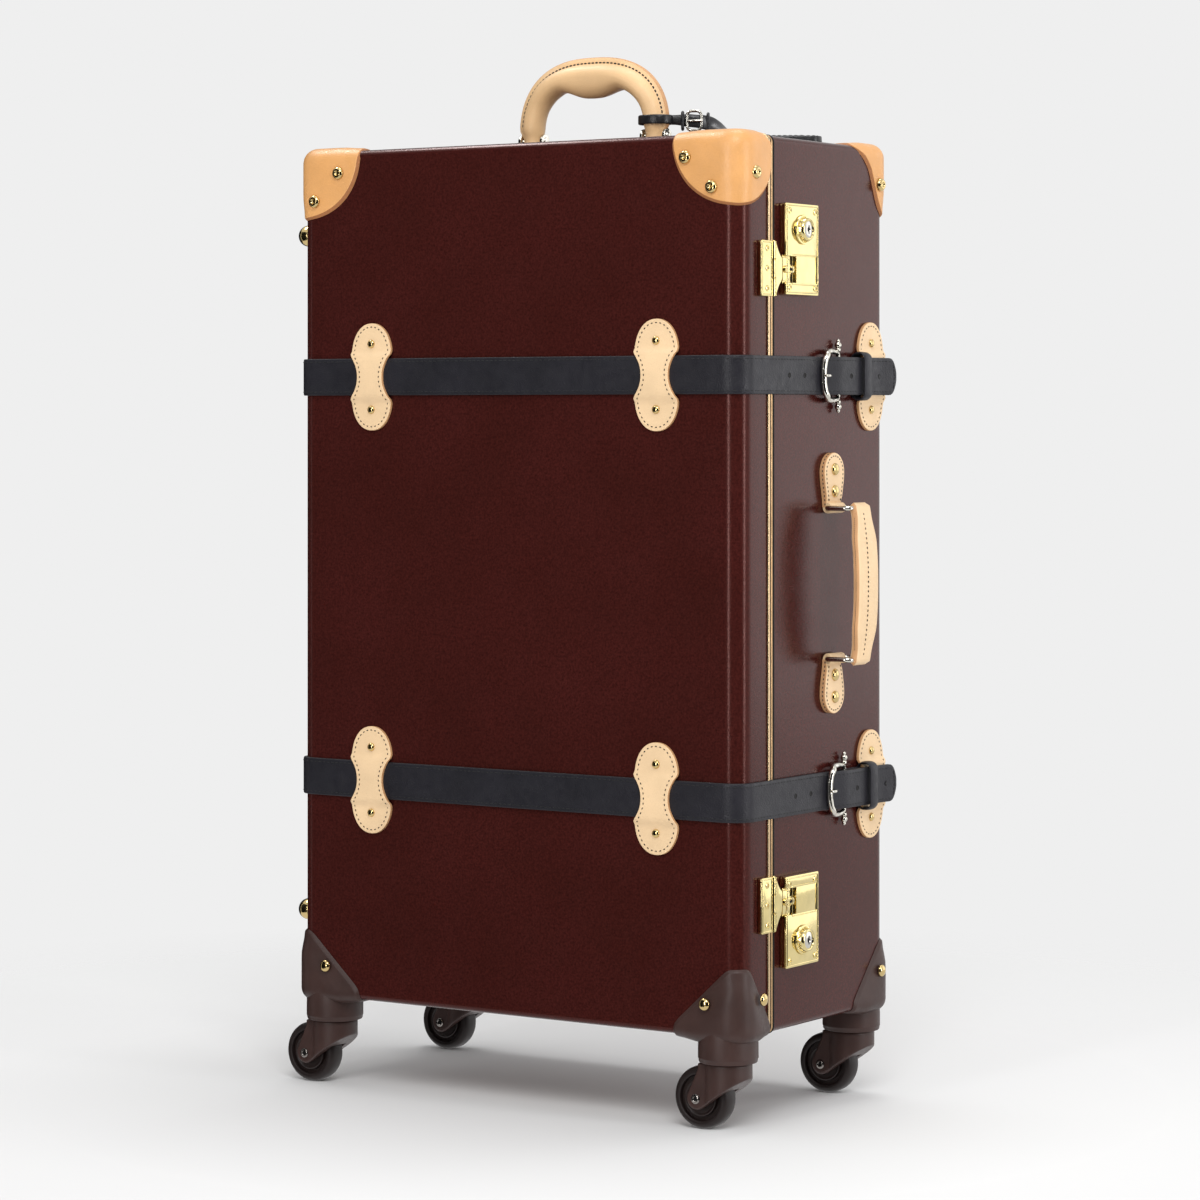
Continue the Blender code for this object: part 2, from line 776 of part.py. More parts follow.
def case_hinge(label, z, base, lid):
    """Butt hinge on the left side: the base leaf holds the pin, the lid leaf turns on it."""
    frame = left_face(SEAM, z)
    ends, middle = knuckles(HINGE_H)
    notch = HINGE_R + NOTCH_GAP
    outline = leaf_outline(HINGE_LEAF, HINGE_H, notch, -1, True)
    fixed = part(f"hinge_{label}_base_leaf", plate([outline], GAP, GAP + HINGE_T, frame), BRASS, base)
    barrel_set(fixed, frame, HINGE_OFF, HINGE_R, ends, pin=HINGE_PIN)
    outline = leaf_outline(HINGE_LEAF, HINGE_H, notch, 1, False)
    moving = part(f"hinge_{label}_lid_leaf", plate([outline], GAP, GAP + HINGE_T, frame), BRASS, lid)
    barrel_set(moving, frame, HINGE_OFF, HINGE_R, middle, bore=HINGE_PIN + RUN_GAP)


def hasp(label, z, sign, lid):
    """Hasp: a leaf on the lid and a waisted tongue that swings out on its pin."""
    frame = right_face(HASP_AXIS_Y, z)
    ends, middle = knuckles(HASP_H)
    notch = HASP_R + NOTCH_GAP
    outline = leaf_outline(HASP_LEAF, HASP_H, notch, -1, True)
    leaf = part(f"hasp_{label}_leaf", plate([outline], GAP, GAP + HASP_LEAF_T, frame), BRASS, lid)
    barrel_set(leaf, frame, HASP_AXIS_OUT, HASP_R, ends, pin=HASP_PIN)
    axis = pivot(f"hasp_{label}_swing", (HALF_W + HASP_AXIS_OUT, HASP_AXIS_Y, z), lid)
    third = HASP_H / 6 - NOTCH_GAP
    half = HASP_H / 2
    tip = HASP_TIP_H / 2
    shares = [i / TAB_STEPS for i in range(TAB_STEPS + 1)]
    flank = [
        (notch + (HASP_SHOULDER - notch) * t, half - (half - tip) * math.sin(math.pi / 2 * t))
        for t in shares
    ]
    nose = HASP_TONGUE - HASP_FINGER
    upper = [(0, third), (notch, third), *flank, (nose, tip)]
    upper += [(nose, HASP_FINGER_H / 2), (HASP_TONGUE, HASP_FINGER_H / 2)]
    outline = upper + [(u, -v) for u, v in reversed(upper)]
    low = HASP_AXIS_OUT - HASP_T / 2
    tongue = part(f"hasp_{label}_tongue", plate([outline], low, low + HASP_T, frame), BRASS, axis)
    barrel_set(tongue, frame, HASP_AXIS_OUT, HASP_R, middle, bore=HASP_PIN + RUN_GAP)


def lock(label, z, sign, base, lid):
    """Lock box with a pocket for the hasp, and a turning knob; sign -1 is the lower, mirrored one."""
    low_y = SEAM + LOCK_SEAM
    frame = right_face(low_y + LOCK_W / 2, z)
    outline = rounded_rect(LOCK_W, LOCK_H, LOCK_R, RIM_STEPS)
    case = part(f"lock_{label}_box", plate([outline], GAP, GAP + LOCK_T, frame), BRASS, base)
    bevel(case, LOCK_BEVEL, 1)
    hasp_z = z + sign * HASP_OFFSET
    floor = HASP_AXIS_OUT - HASP_T / 2 - GAP
    reach = HASP_AXIS_Y + HASP_TONGUE + POCKET_GAP
    half = HASP_TIP_H / 2 + POCKET_GAP
    pocket = box(
        (HALF_W + floor, low_y - LOCK_W, hasp_z - half),
        (HALF_W + 2 * LOCK_T, reach, hasp_z + half),
    )
    boolean(case, pocket, "DIFFERENCE")
    knob_z = z + sign * KNOB_OFFSET
    face = GAP + LOCK_T + GAP
    turn = pivot(f"lock_{label}_turn", (HALF_W + face, low_y + LOCK_W / 2, knob_z), base)
    centre = right_face(low_y + LOCK_W / 2, knob_z)
    flange = face + KNOB_T
    top = face + BARREL_T
    profile = [
        (0, top),
        (BARREL_R - KNOB_EDGE, top),
        (BARREL_R, top - KNOB_EDGE),
        (BARREL_R, flange),
        (KNOB_R - KNOB_EDGE, flange),
        (KNOB_R, flange - KNOB_EDGE),
        (KNOB_R, face),
        (0, face),
    ]
    knob = part(f"lock_{label}_knob", turned(profile, ROUND_STEPS, centre), BRASS, turn)
    key = rounded_rect(KEY_W, KEY_H, KEY_W / 3, EDGE_STEPS)
    boolean(knob, plate([key], top - KEY_DEPTH, top + KEY_DEPTH, centre), "DIFFERENCE")
    hasp(label, hasp_z, sign, lid)


def strap_rise(y, heel_y):
    """Height of the billet's inner face over the latch side: flat, up over the buckle, flared tip."""
    end = heel_y - RAMP_LEAD
    climb = (STRAP_RISE - GAP) * ease(y, end - RAMP_RUN, end)
    return GAP + climb + TIP_FLARE * ease(y, STRAP_TIP - TIP_RUN, STRAP_TIP)


def corner_arc(sx, sy, offset, start, end):
    centre = (sx * (HALF_W - CORNER_R), sy * (BODY_D / 2 - CORNER_R))
    return arc(centre, CORNER_R + offset, start, end, CORNER_STEPS + 1)


def billet_line(offset, heel_y):
    """Route of the long strap half, seen from above, at a distance over the case."""
    line = [(-HALF_W - GAP - offset, SEAM - STRAP_SPLIT)]
    line += corner_arc(-1, -1, GAP + offset, 180, 270)
    line += corner_arc(1, -1, GAP + offset, 270, 360)
    end = heel_y - RAMP_LEAD
    stops = [end - RAMP_RUN * (1 - i / RAMP_STEPS) for i in range(RAMP_STEPS + 1)]
    start = STRAP_TIP - TIP_RUN
    stops += [start + TIP_RUN * i / RAMP_STEPS for i in range(RAMP_STEPS + 1)]
    return line + [(HALF_W + strap_rise(y, heel_y) + offset, y) for y in stops]


def chape_line(offset):
    """Route of the short strap half, from the buckle eye round the back to the hinge side."""
    line = corner_arc(1, 1, GAP + offset, 0, 90)
    line += corner_arc(-1, 1, GAP + offset, 90, 180)
    return line + [(-HALF_W - GAP - offset, SEAM + STRAP_SPLIT)]


def strap_loop(z, y):
    """Leather loop on the short strap half that holds the long half's end down."""
    low = GAP + STRAP_T / 4
    inner_low = GAP + STRAP_T * 3 / 4
    inner_high = STRAP_RISE + STRAP_T + LOOP_BAND_GAP
    high = inner_high + LOOP_BAND_T
    inner_h = STRAP_W + 2 * LOOP_BAND_GAP
    outer = rounded_rect(high - low, inner_h + 2 * LOOP_BAND_T, LOOP_BAND_R, EDGE_STEPS)
    outer = [(u + (high + low) / 2, v) for u, v in outer]
    inner = rounded_rect(inner_high - inner_low, inner_h, LOOP_BAND_R / 2, EDGE_STEPS)
    inner = [(u + (inner_high + inner_low) / 2, v) for u, v in inner]
    across = axes((HALF_W, y, z), (1, 0, 0), (0, 0, 1))
    return plate([outer, inner], -LOOP_BAND_W / 2, LOOP_BAND_W / 2, across)


def strap(label, z, heel_y, base, lid):
    """One strap: billet on the lid, chape on the base, buckle frame and prong on the chape's eye."""
    level = plan(z)
    half = STRAP_W / 2
    outline = billet_line(0, heel_y) + billet_line(STRAP_T, heel_y)[::-1]
    billet = part(f"strap_{label}_billet", plate([outline], -half, half, level), NAVY, lid)
    hole = box(
        (HALF_W - EYE_R, heel_y - BUCKLE_L + BUCKLE_FRONT_R, z - PRONG_SLOT),
        (HALF_W + 2 * STRAP_RISE, heel_y - GAP, z + PRONG_SLOT),
    )
    boolean(billet, hole, "DIFFERENCE")
    bar = (HALF_W + EYE_OUT, heel_y)
    meet = math.degrees(math.acos((STRAP_T - EYE_R) / EYE_R))
    eye = arc(bar, EYE_R, 180, 360 + meet, EYE_STEPS)
    outline = chape_line(0)[::-1] + eye + chape_line(STRAP_T)
    bore = arc(bar, BAR_R + RUN_GAP, 0, 330, EYE_STEPS - 1)
    chape = part(f"strap_{label}_chape", plate([outline, bore], -half, half, level), NAVY, base)
    reach = EYE_R + RUN_GAP
    room = PRONG_EYE_W / 2 + GAP
    slot = box(
        (HALF_W - reach, heel_y - 2 * reach, z - room),
        (HALF_W + 2 * STRAP_RISE, heel_y + 2 * reach, z + room),
    )
    boolean(chape, slot, "DIFFERENCE")
    boolean(chape, strap_loop(z, heel_y + LOOP_BAND_Y), "UNION")
    buckle(label, z, heel_y, base)


def buckle(label, z, heel_y, base):
    """Horseshoe frame with ball finials on its pivot bar, and the prong that turns on the bar."""
    heel = Vector((HALF_W + EYE_OUT, heel_y, z))
    swing = pivot(f"buckle_{label}_swing", heel, base)
    turn = pivot(f"prong_{label}_swing", heel, swing)
    half = STRAP_W / 2 + BUCKLE_CLEAR + BUCKLE_WIRE
    front_y = heel_y - BUCKLE_L
    front_out = strap_rise(front_y, heel_y) + STRAP_T + BUCKLE_FRONT_R + BUCKLE_LIFT
    tilt = (front_out - EYE_OUT) / BUCKLE_L
    heel_r = BUCKLE_HEEL_R
    route = arc((heel_y - heel_r, half - heel_r), heel_r, 0, 90, RIM_STEPS)
    route += arc((front_y + BUCKLE_ROUND, half - BUCKLE_ROUND), BUCKLE_ROUND, 90, 180, RIM_STEPS)
    route += [(y, -v) for y, v in reversed(route)]
    places = [(HALF_W + EYE_OUT + tilt * (heel_y - y), y, z + v) for y, v in route]
    span = BUCKLE_L - BUCKLE_ROUND
    sizes = [
        BAR_R
        + (BUCKLE_WIRE - BAR_R) * ease(heel_y - y, 0, heel_r)
        + (BUCKLE_FRONT_R - BUCKLE_WIRE) * ease(heel_y - y, span, BUCKLE_L)
        for y, v in route
    ]
    frame = part(f"buckle_{label}_frame", tube(places, sizes, 2, True), NICKEL, swing)
    end = half + FINIAL_OUT
    seat = half - heel_r - FINIAL_NECK
    opening = math.degrees(math.acos(FINIAL_NECK / FINIAL_R))
    knob = [*arc((0, end), FINIAL_R, 90, -opening, 2 * RIM_STEPS), (FINIAL_NECK, seat), (0, seat)]
    upright = axes(heel, (1, 0, 0), (0, 1, 0))
    for outward in (upright, axes(heel, (0, 1, 0), (1, 0, 0))):
        boolean(frame, turned(knob, PIN_STEPS, outward), "UNION")
    hole = BAR_R + RUN_GAP
    outer = hole + PRONG_EYE_T
    wide = PRONG_EYE_W / 2
    eye = [(hole, wide), (outer, wide), (outer, -wide), (hole, -wide)]
    prong = part(f"prong_{label}", turned(eye, PIN_STEPS, upright, True), NICKEL, turn)
    over = front_out + BUCKLE_FRONT_R + PRONG_R + GAP
    ahead = front_y - PRONG_OVER
    middle = hole + PRONG_EYE_T / 2
    start = heel + Vector((middle, -PRONG_R, 0))
    crest = Vector((HALF_W + over, front_y, z))
    points = [start, start.lerp(crest, 0.55), crest, Vector((HALF_W + over, ahead, z))]
    sizes = [PRONG_R, PRONG_R, PRONG_R, PRONG_R / 2]
    boolean(prong, tube(points, sizes, 1), "UNION")


def keeper_half_width(v):
    """Half width of a keeper at a distance from its middle: waist, shoulder, round lobe."""
    v = abs(v)
    if v < KEEPER_SHOULDER:
        return KEEPER_WAIST_W + (KEEPER_LOBE_W - KEEPER_WAIST_W) * (v / KEEPER_SHOULDER) ** 2
    past = max(v - KEEPER_LOBE_Z, 0) / (KEEPER_TIP - KEEPER_LOBE_Z)
    return KEEPER_LOBE_W * max(math.sqrt(max(1 - past * past, 0)), KEEPER_END)


def front_keeper(name, x, z, carrier):
    """Waisted leather piece that lies on the lid at both ends and bridges the strap."""
    half = STRAP_W / 2 + GAP
    waist = [half * i / 3 for i in range(4)]
    ramp = [half + KEEPER_RAMP / 2, max(KEEPER_SHOULDER, half + KEEPER_RAMP)]
    lobe = [
        KEEPER_LOBE_Z + (KEEPER_TIP - KEEPER_LOBE_Z) * math.sin(math.pi / 2 * i / KEEPER_ROWS * 2)
        for i in range(KEEPER_ROWS // 2 + 1)
    ]
    rows = waist + ramp + lobe
    rows = [-v for v in reversed(rows[1:])] + rows
    shape = bmesh.new()
    made = bmesh.ops.create_grid(shape, x_segments=1, y_segments=len(rows) - 1, size=1)["verts"]
    made.sort(key=lambda vert: (vert.co.y, vert.co.x))
    frame = front_face(x, z)
    for index, vert in enumerate(made):
        v = rows[index // 2]
        lift = STRAP_T + GAP
        out = GAP + lift * (1 - ease(abs(v), half, half + KEEPER_RAMP))
        side = 1 if vert.co.x > 0 else -1
        vert.co = frame @ Vector((side * keeper_half_width(v), v, out))
    made = part(name, shape, PALE_TAN, carrier)
    skin = made.modifiers.new("leather", "SOLIDIFY")
    skin.thickness = KEEPER_T
    skin.offset = 1
    skin.use_even_offset = True


def side_handle(base):
    """Carrying strap on the lock side: two riveted tabs, two rings and a flat grip."""
    carriers = {}
    for label, sign in (("upper", 1), ("lower", -1)):
        z = SIDE_Z + sign * SIDE_HALF
        frame = right_face(SIDE_Y, z)
        lobe = arc((0, sign * TAB_L), TAB_R, 0 if sign > 0 else 360, 180, TAB_STEPS)
        neck = [(-TAB_NECK, 0), (TAB_NECK, 0)]
        tab = part(f"side_tab_{label}", plate([lobe + neck], GAP, GAP + TAB_T, frame), PALE_TAN, base)
        line = axes((HALF_W + LOOP_OUT, SIDE_Y, z), (0, 0, 1), (1, 0, 0))
        boolean(tab, cylinder(LOOP_R, -TAB_NECK, TAB_NECK, line), "UNION")
        boolean(tab, cylinder(RING_WIRE + RUN_GAP, -LOOP_W, LOOP_W, line), "DIFFERENCE")
        axis = pivot(f"side_ring_{label}_swing", (HALF_W + LOOP_OUT, SIDE_Y, z), base)
        route = rounded_rect(RING_REACH, RING_SPAN, RING_ROUND, RIM_STEPS)
        middle = HALF_W + LOOP_OUT + RING_REACH / 2
        places = [(middle + u, SIDE_Y + v, z) for u, v in route]
        part(f"side_ring_{label}", tube(places, [RING_WIRE] * len(places), 1, True), NICKEL, axis)
        carriers[label] = axis
    end = HALF_W + RING_END
    top = Vector((end, SIDE_Y, SIDE_Z + SIDE_HALF))
    axis = pivot("side_handle_swing", top, carriers["upper"])
    half = [
        (TAB_NECK, SIDE_HALF + LOOP_R),
        (TAB_NECK, SIDE_HALF - GRIP_EASE),
        (GRIP_HALF_W, SIDE_HALF - 2 * GRIP_EASE),
    ]
    right = half + [(u, -v) for u, v in reversed(half)]
    outline = right + [(-u, v) for u, v in reversed(right)]
    frame = axes((end, SIDE_Y, SIDE_Z), (0, 1, 0), (0, 0, 1))
    grip = part("side_handle", plate([outline], -LOOP_R, LOOP_R, frame), PALE_TAN, axis)
    bevel(grip, GRIP_BEVEL, 1)
    for sign in (1, -1):
        line = axes((end, SIDE_Y, SIDE_Z + sign * SIDE_HALF), (0, 0, 1), (1, 0, 0))
        boolean(grip, cylinder(RING_WIRE + RUN_GAP, -LOOP_W, LOOP_W, line), "DIFFERENCE")


def handle_point(turn):
    """Centre line of the arched top handle, from 0 at one foot to 180 degrees at the other."""
    t = math.radians(turn)
    flat = 2 / HANDLE_POWER
    x = math.copysign(HANDLE_HALF * abs(math.cos(t)) ** flat, math.cos(t))
    return Vector((x, HANDLE_Y, HANDLE_PIVOT.z + HANDLE_RISE * math.sin(t) ** flat))


def top_handle(base):
    """Padded arch on two eared brackets, free to fold on their pins."""
    swing = pivot("top_handle_swing", HANDLE_PIVOT, base)
    turns = [180 * i / (HANDLE_POINTS - 1) for i in range(HANDLE_POINTS)]
    points = [handle_point(turn) for turn in turns]
    swell = HANDLE_GRIP_R - HANDLE_FOOT_R
    sizes = [HANDLE_FOOT_R + swell * math.sin(math.radians(turn)) ** 2 for turn in turns]
    heel = Vector((0, 0, HANDLE_HEEL))
    points = [points[0] - heel, *points, points[-1] - heel]
    sizes = [HANDLE_HEEL_R, HANDLE_NECK_R, *sizes[1:-1], HANDLE_NECK_R, HANDLE_HEEL_R]
    handle = part("top_handle", tube(points, sizes, 3), PALE_TAN, swing)
    line = axes(HANDLE_PIVOT, (0, 1, 0), (0, 0, 1))
    boolean(handle, cylinder(PIN_R + RUN_GAP, -BODY_W / 2, BODY_W / 2, line), "DIFFERENCE")
    room = HANDLE_NECK_R + EAR_GAP
    wide = room + EAR_T
    for label, sign in (("left", -1), ("right", 1)):
        place = Vector((sign * HANDLE_HALF, HANDLE_Y, TOP))
        frame = axes(place, (0, 1, 0), (0, 0, 1))
        crest = arc((0, PIN_H), EAR_R, 0, 180, TAB_STEPS)
        outline = crest + [(-EAR_BASE, EAR_FLOOR), (-EAR_BASE, GAP), (EAR_BASE, GAP), (EAR_BASE, EAR_FLOOR)]
        ears = part(f"handle_bracket_{label}", plate([outline], -wide, wide, frame), NICKEL, base)
        slot = box((-room, -2 * EAR_BASE, EAR_FLOOR), (room, 2 * EAR_BASE, 2 * PIN_H))
        bmesh.ops.translate(slot, vec=place, verts=slot.verts)
        boolean(ears, slot, "DIFFERENCE")
        pin = axes(place + Vector((0, 0, PIN_H)), (0, 1, 0), (0, 0, 1))
        boolean(ears, cylinder(PIN_R, -wide - EAR_T / 2, wide + EAR_T / 2, pin), "UNION")
    luggage_tag(swing)


def luggage_tag(swing):
    """Leather tag on a strap that loops round the right foot of the handle and lies on the top."""
    foot = Vector((HANDLE_HALF, HANDLE_Y, TOP))
    axis = pivot("luggage_tag_swing", foot, swing)
    ahead = Vector((math.cos(TAG_ANGLE), math.sin(TAG_ANGLE), 0))
    aside = Vector((-ahead.y, ahead.x, 0))
    inner = HANDLE_FOOT_R + TAG_LOOP_GAP
    outer = inner + TAG_LOOP_T
    low = PIN_H + EAR_R + TAG_LOOP_LIFT
    high = low + TAG_STRAP_W
    flat = axes(foot, ahead, aside)
    ring = turned([(inner, high), (outer, high), (outer, low), (inner, low)], ROUND_STEPS, flat, True)
    across = HANDLE_FOOT_R + TAG_LOOP_SIDE + TAG_LOOP_T
    bmesh.ops.scale(
        ring, vec=(1, across / outer, 1), space=Matrix.Translation(-foot), verts=ring.verts
    )
    tag = part("luggage_tag", ring, BLACK, axis)
    rest = GAP + CAP_T + GAP
    start = outer + TAG_LEAD
    card = rounded_rect(TAG_L, TAG_W, TAG_R, RIM_STEPS)
    card = [(u + start + TAG_L / 2, v) for u, v in card]
    boolean(tag, plate([card], rest, rest + TAG_T, flat), "UNION")
    side = axes(foot, ahead, (0, 0, 1))
    middle = (low + high) / 2
    foot_of = start + TAG_LAP
    edge = 1 / math.hypot(ahead.x / outer, ahead.y / across) - TAG_LOOP_T / 2
    band = [
        (edge, middle),
        (edge, middle + TAG_STRAP_T),
        (foot_of, rest + TAG_T + TAG_STRAP_T / 2),
        (foot_of, rest + TAG_T - TAG_STRAP_T / 2),
        (start, rest + TAG_T - TAG_STRAP_T / 2),
    ]
    boolean(tag, plate([band], -TAG_STRAP_W / 2, TAG_STRAP_W / 2, side), "UNION")


def tray_size():
    rim = 2 * (TRAY_GAP + TRAY_WALL)
    return PULL_GRIP_L + rim, PULL_GRIP_W + rim


def slab(length, width, radius, low, high, steps=RIM_STEPS):
    """Rounded slab about the pull handle's centre, between two heights over the top."""
    outline = [(x, y + PULL_Y) for x, y in rounded_rect(length, width, radius, steps)]
    return plate([outline], low, high, plan(TOP))


def tube_line(sign):
    return axes((sign * TUBE_SPAN / 2, PULL_Y, TOP), (1, 0, 0), (0, 1, 0))


def pull_handle(base):
    """Telescoping handle: tray in the top, fixed tubes on a sole, sliding grip and its button."""
    length, width = tray_size()
    corner = PULL_GRIP_R + TRAY_GAP
    floor = PULL_PROUD - PULL_GRIP_H - GAP
    under = floor - TRAY_WALL
    flange = slab(
        length + 2 * TRAY_FLANGE,
        width + 2 * TRAY_FLANGE,
        corner + TRAY_WALL + TRAY_FLANGE,
        GAP,
        GAP + TRAY_FLANGE_T,
    )
    tray = part("pull_tray", flange, BROWN, base)
    boolean(tray, slab(length, width, corner + TRAY_WALL, under, GAP + TRAY_FLANGE_T / 2), "UNION")
    room = slab(length - 2 * TRAY_WALL, width - 2 * TRAY_WALL, corner, floor, PULL_GRIP_H)
    boolean(tray, room, "DIFFERENCE")
    sole_low = BOTTOM + WALL + GAP - TOP
    outer = TUBE_R + RUN_GAP + CHANNEL_WALL
    sole = slab(
        TUBE_SPAN + 2 * (outer + CHANNEL_SOLE),
        2 * (outer + GAP),
        outer,
        sole_low,
        sole_low + CHANNEL_FOOT,
    )
    channel = part("pull_channel", sole, STEEL, base)
    slide = pivot("pull_slide", (0, PULL_Y, TOP), base)
    grip_low = PULL_PROUD - PULL_GRIP_H
    grip = part(
        "pull_grip",
        slab(PULL_GRIP_L, PULL_GRIP_W, PULL_GRIP_R, grip_low, PULL_PROUD),
        BLACK,
        slide,
    )
    bevel(grip, GRIP_BEVEL, 1)
    for sign in (-1, 1):
        line = tube_line(sign)
        boolean(tray, cylinder(TUBE_R + RUN_GAP, under - WALL, 0, line, ROUND_STEPS), "DIFFERENCE")
        boolean(channel, cylinder(outer, sole_low + CHANNEL_FOOT / 2, under - GAP, line, ROUND_STEPS), "UNION")
        bore = cylinder(TUBE_R + RUN_GAP, sole_low + CHANNEL_FOOT, under + WALL, line, ROUND_STEPS)
        boolean(channel, bore, "DIFFERENCE")
        stem = cylinder(TUBE_R, grip_low - TUBE_L, grip_low + PULL_GRIP_H / 2, line, ROUND_STEPS)
        boolean(grip, stem, "UNION")
    press = pivot("pull_button_press", (0, PULL_Y, TOP), slide)
    button_low = PULL_PROUD + BUTTON_PROUD - BUTTON_H
    travel_floor = button_low - BUTTON_PROUD - GAP
    well = slab(BUTTON_L + 2 * RUN_GAP, BUTTON_W + 2 * RUN_GAP, BUTTON_R + RUN_GAP, travel_floor, BUTTON_H)
    boolean(grip, well, "DIFFERENCE")
    cap = slab(BUTTON_L, BUTTON_W, BUTTON_R, button_low, PULL_PROUD + BUTTON_PROUD)
    part("pull_button", cap, STEEL, press)


def build():
    base = pivot("base", (0, 0, 0))
    lid = pivot("lid", HINGE_AXIS, base)
    make_shells(base, lid)
    for label, sx in (("left", -1), ("right", 1)):
        corner_cap(f"corner_lid_{label}", sx, -1, CAP_REACH_LID, lid)
        corner_cap(f"corner_base_{label}", sx, 1, CAP_REACH_BASE, base)
        corner_guard(f"guard_lid_{label}", sx, -1, LID_D - CAP_SEAM, lid)
        corner_guard(f"guard_base_{label}", sx, 1, GUARD_REACH_BASE, base)
        caster(f"caster_front_{label}", sx, -1, lid)
        caster(f"caster_rear_{label}", sx, 1, base)
    for label, z in (("upper", TOP - FOOT_Z), ("lower", BOTTOM + FOOT_Z)):
        dome_foot(f"foot_lid_{label}", FRONT + LID_D / 2, z, lid)
        dome_foot(f"foot_base_{label}", BACK - LID_D / 2, z, base)
    case_hinge("upper", TOP - HINGE_Z, base, lid)
    case_hinge("lower", BOTTOM + HINGE_Z, base, lid)
    lock("upper", TOP - LOCK_TOP - LOCK_H / 2, 1, base, lid)
    lock("lower", BOTTOM + LOCK_BOTTOM + LOCK_H / 2, -1, base, lid)
    straps = (("upper", STRAP_UP_Z, BUCKLE_UP_Y), ("lower", STRAP_LOW_Z, BUCKLE_LOW_Y))
    for label, z, heel_y in straps:
        strap(label, z, heel_y, base, lid)
        for side, sx in (("left", -1), ("right", 1)):
            front_keeper(f"keeper_{label}_{side}", sx * (HALF_W - KEEPER_X), z, lid)
    side_handle(base)
    top_handle(base)
    pull_handle(base)


build()
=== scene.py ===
"""Look of the spinner suitcase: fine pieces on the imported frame, procedural materials, studio."""
import math

import bmesh
import bpy
from mathutils import Matrix, Vector


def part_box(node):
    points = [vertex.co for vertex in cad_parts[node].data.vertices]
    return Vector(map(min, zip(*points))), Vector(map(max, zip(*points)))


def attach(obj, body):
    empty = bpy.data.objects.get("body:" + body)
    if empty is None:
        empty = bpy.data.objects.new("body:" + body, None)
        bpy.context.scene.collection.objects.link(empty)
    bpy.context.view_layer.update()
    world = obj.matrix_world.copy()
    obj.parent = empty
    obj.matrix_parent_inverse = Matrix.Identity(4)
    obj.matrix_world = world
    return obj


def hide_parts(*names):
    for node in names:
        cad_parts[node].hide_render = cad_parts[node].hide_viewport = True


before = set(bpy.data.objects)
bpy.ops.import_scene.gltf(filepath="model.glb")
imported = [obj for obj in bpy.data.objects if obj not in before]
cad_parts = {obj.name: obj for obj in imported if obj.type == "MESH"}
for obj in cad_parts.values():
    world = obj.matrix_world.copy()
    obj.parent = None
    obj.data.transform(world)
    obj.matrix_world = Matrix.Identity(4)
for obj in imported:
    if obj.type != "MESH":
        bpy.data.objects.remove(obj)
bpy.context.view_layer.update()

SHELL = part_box("base_shell")
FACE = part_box("lid_shell")
X0, X1 = SHELL[0][0], SHELL[1][0]
MID = (X0 + X1) / 2
FRONT, BACK = FACE[0][1], SHELL[1][1]
BOTTOM, TOP = SHELL[0][2], SHELL[1][2]
SEAM = -0.073
WALL = 0.0045
CORNER_R = 0.016
EDGE_R = 0.006
GAP = 0.0003
TINY = 0.00001
FULL, QUARTER = 2 * math.pi, math.pi / 2
X, Y, Z = Vector((1, 0, 0)), Vector((0, 1, 0)), Vector((0, 0, 1))


# Materials

def rgb(code):
    """Linear colour of a hex code."""
    parts = [int(code[i:i + 2], 16) / 255 for i in (0, 2, 4)]
    return tuple(p / 12.92 if p <= 0.04045 else ((p + 0.055) / 1.055) ** 2.4 for p in parts)


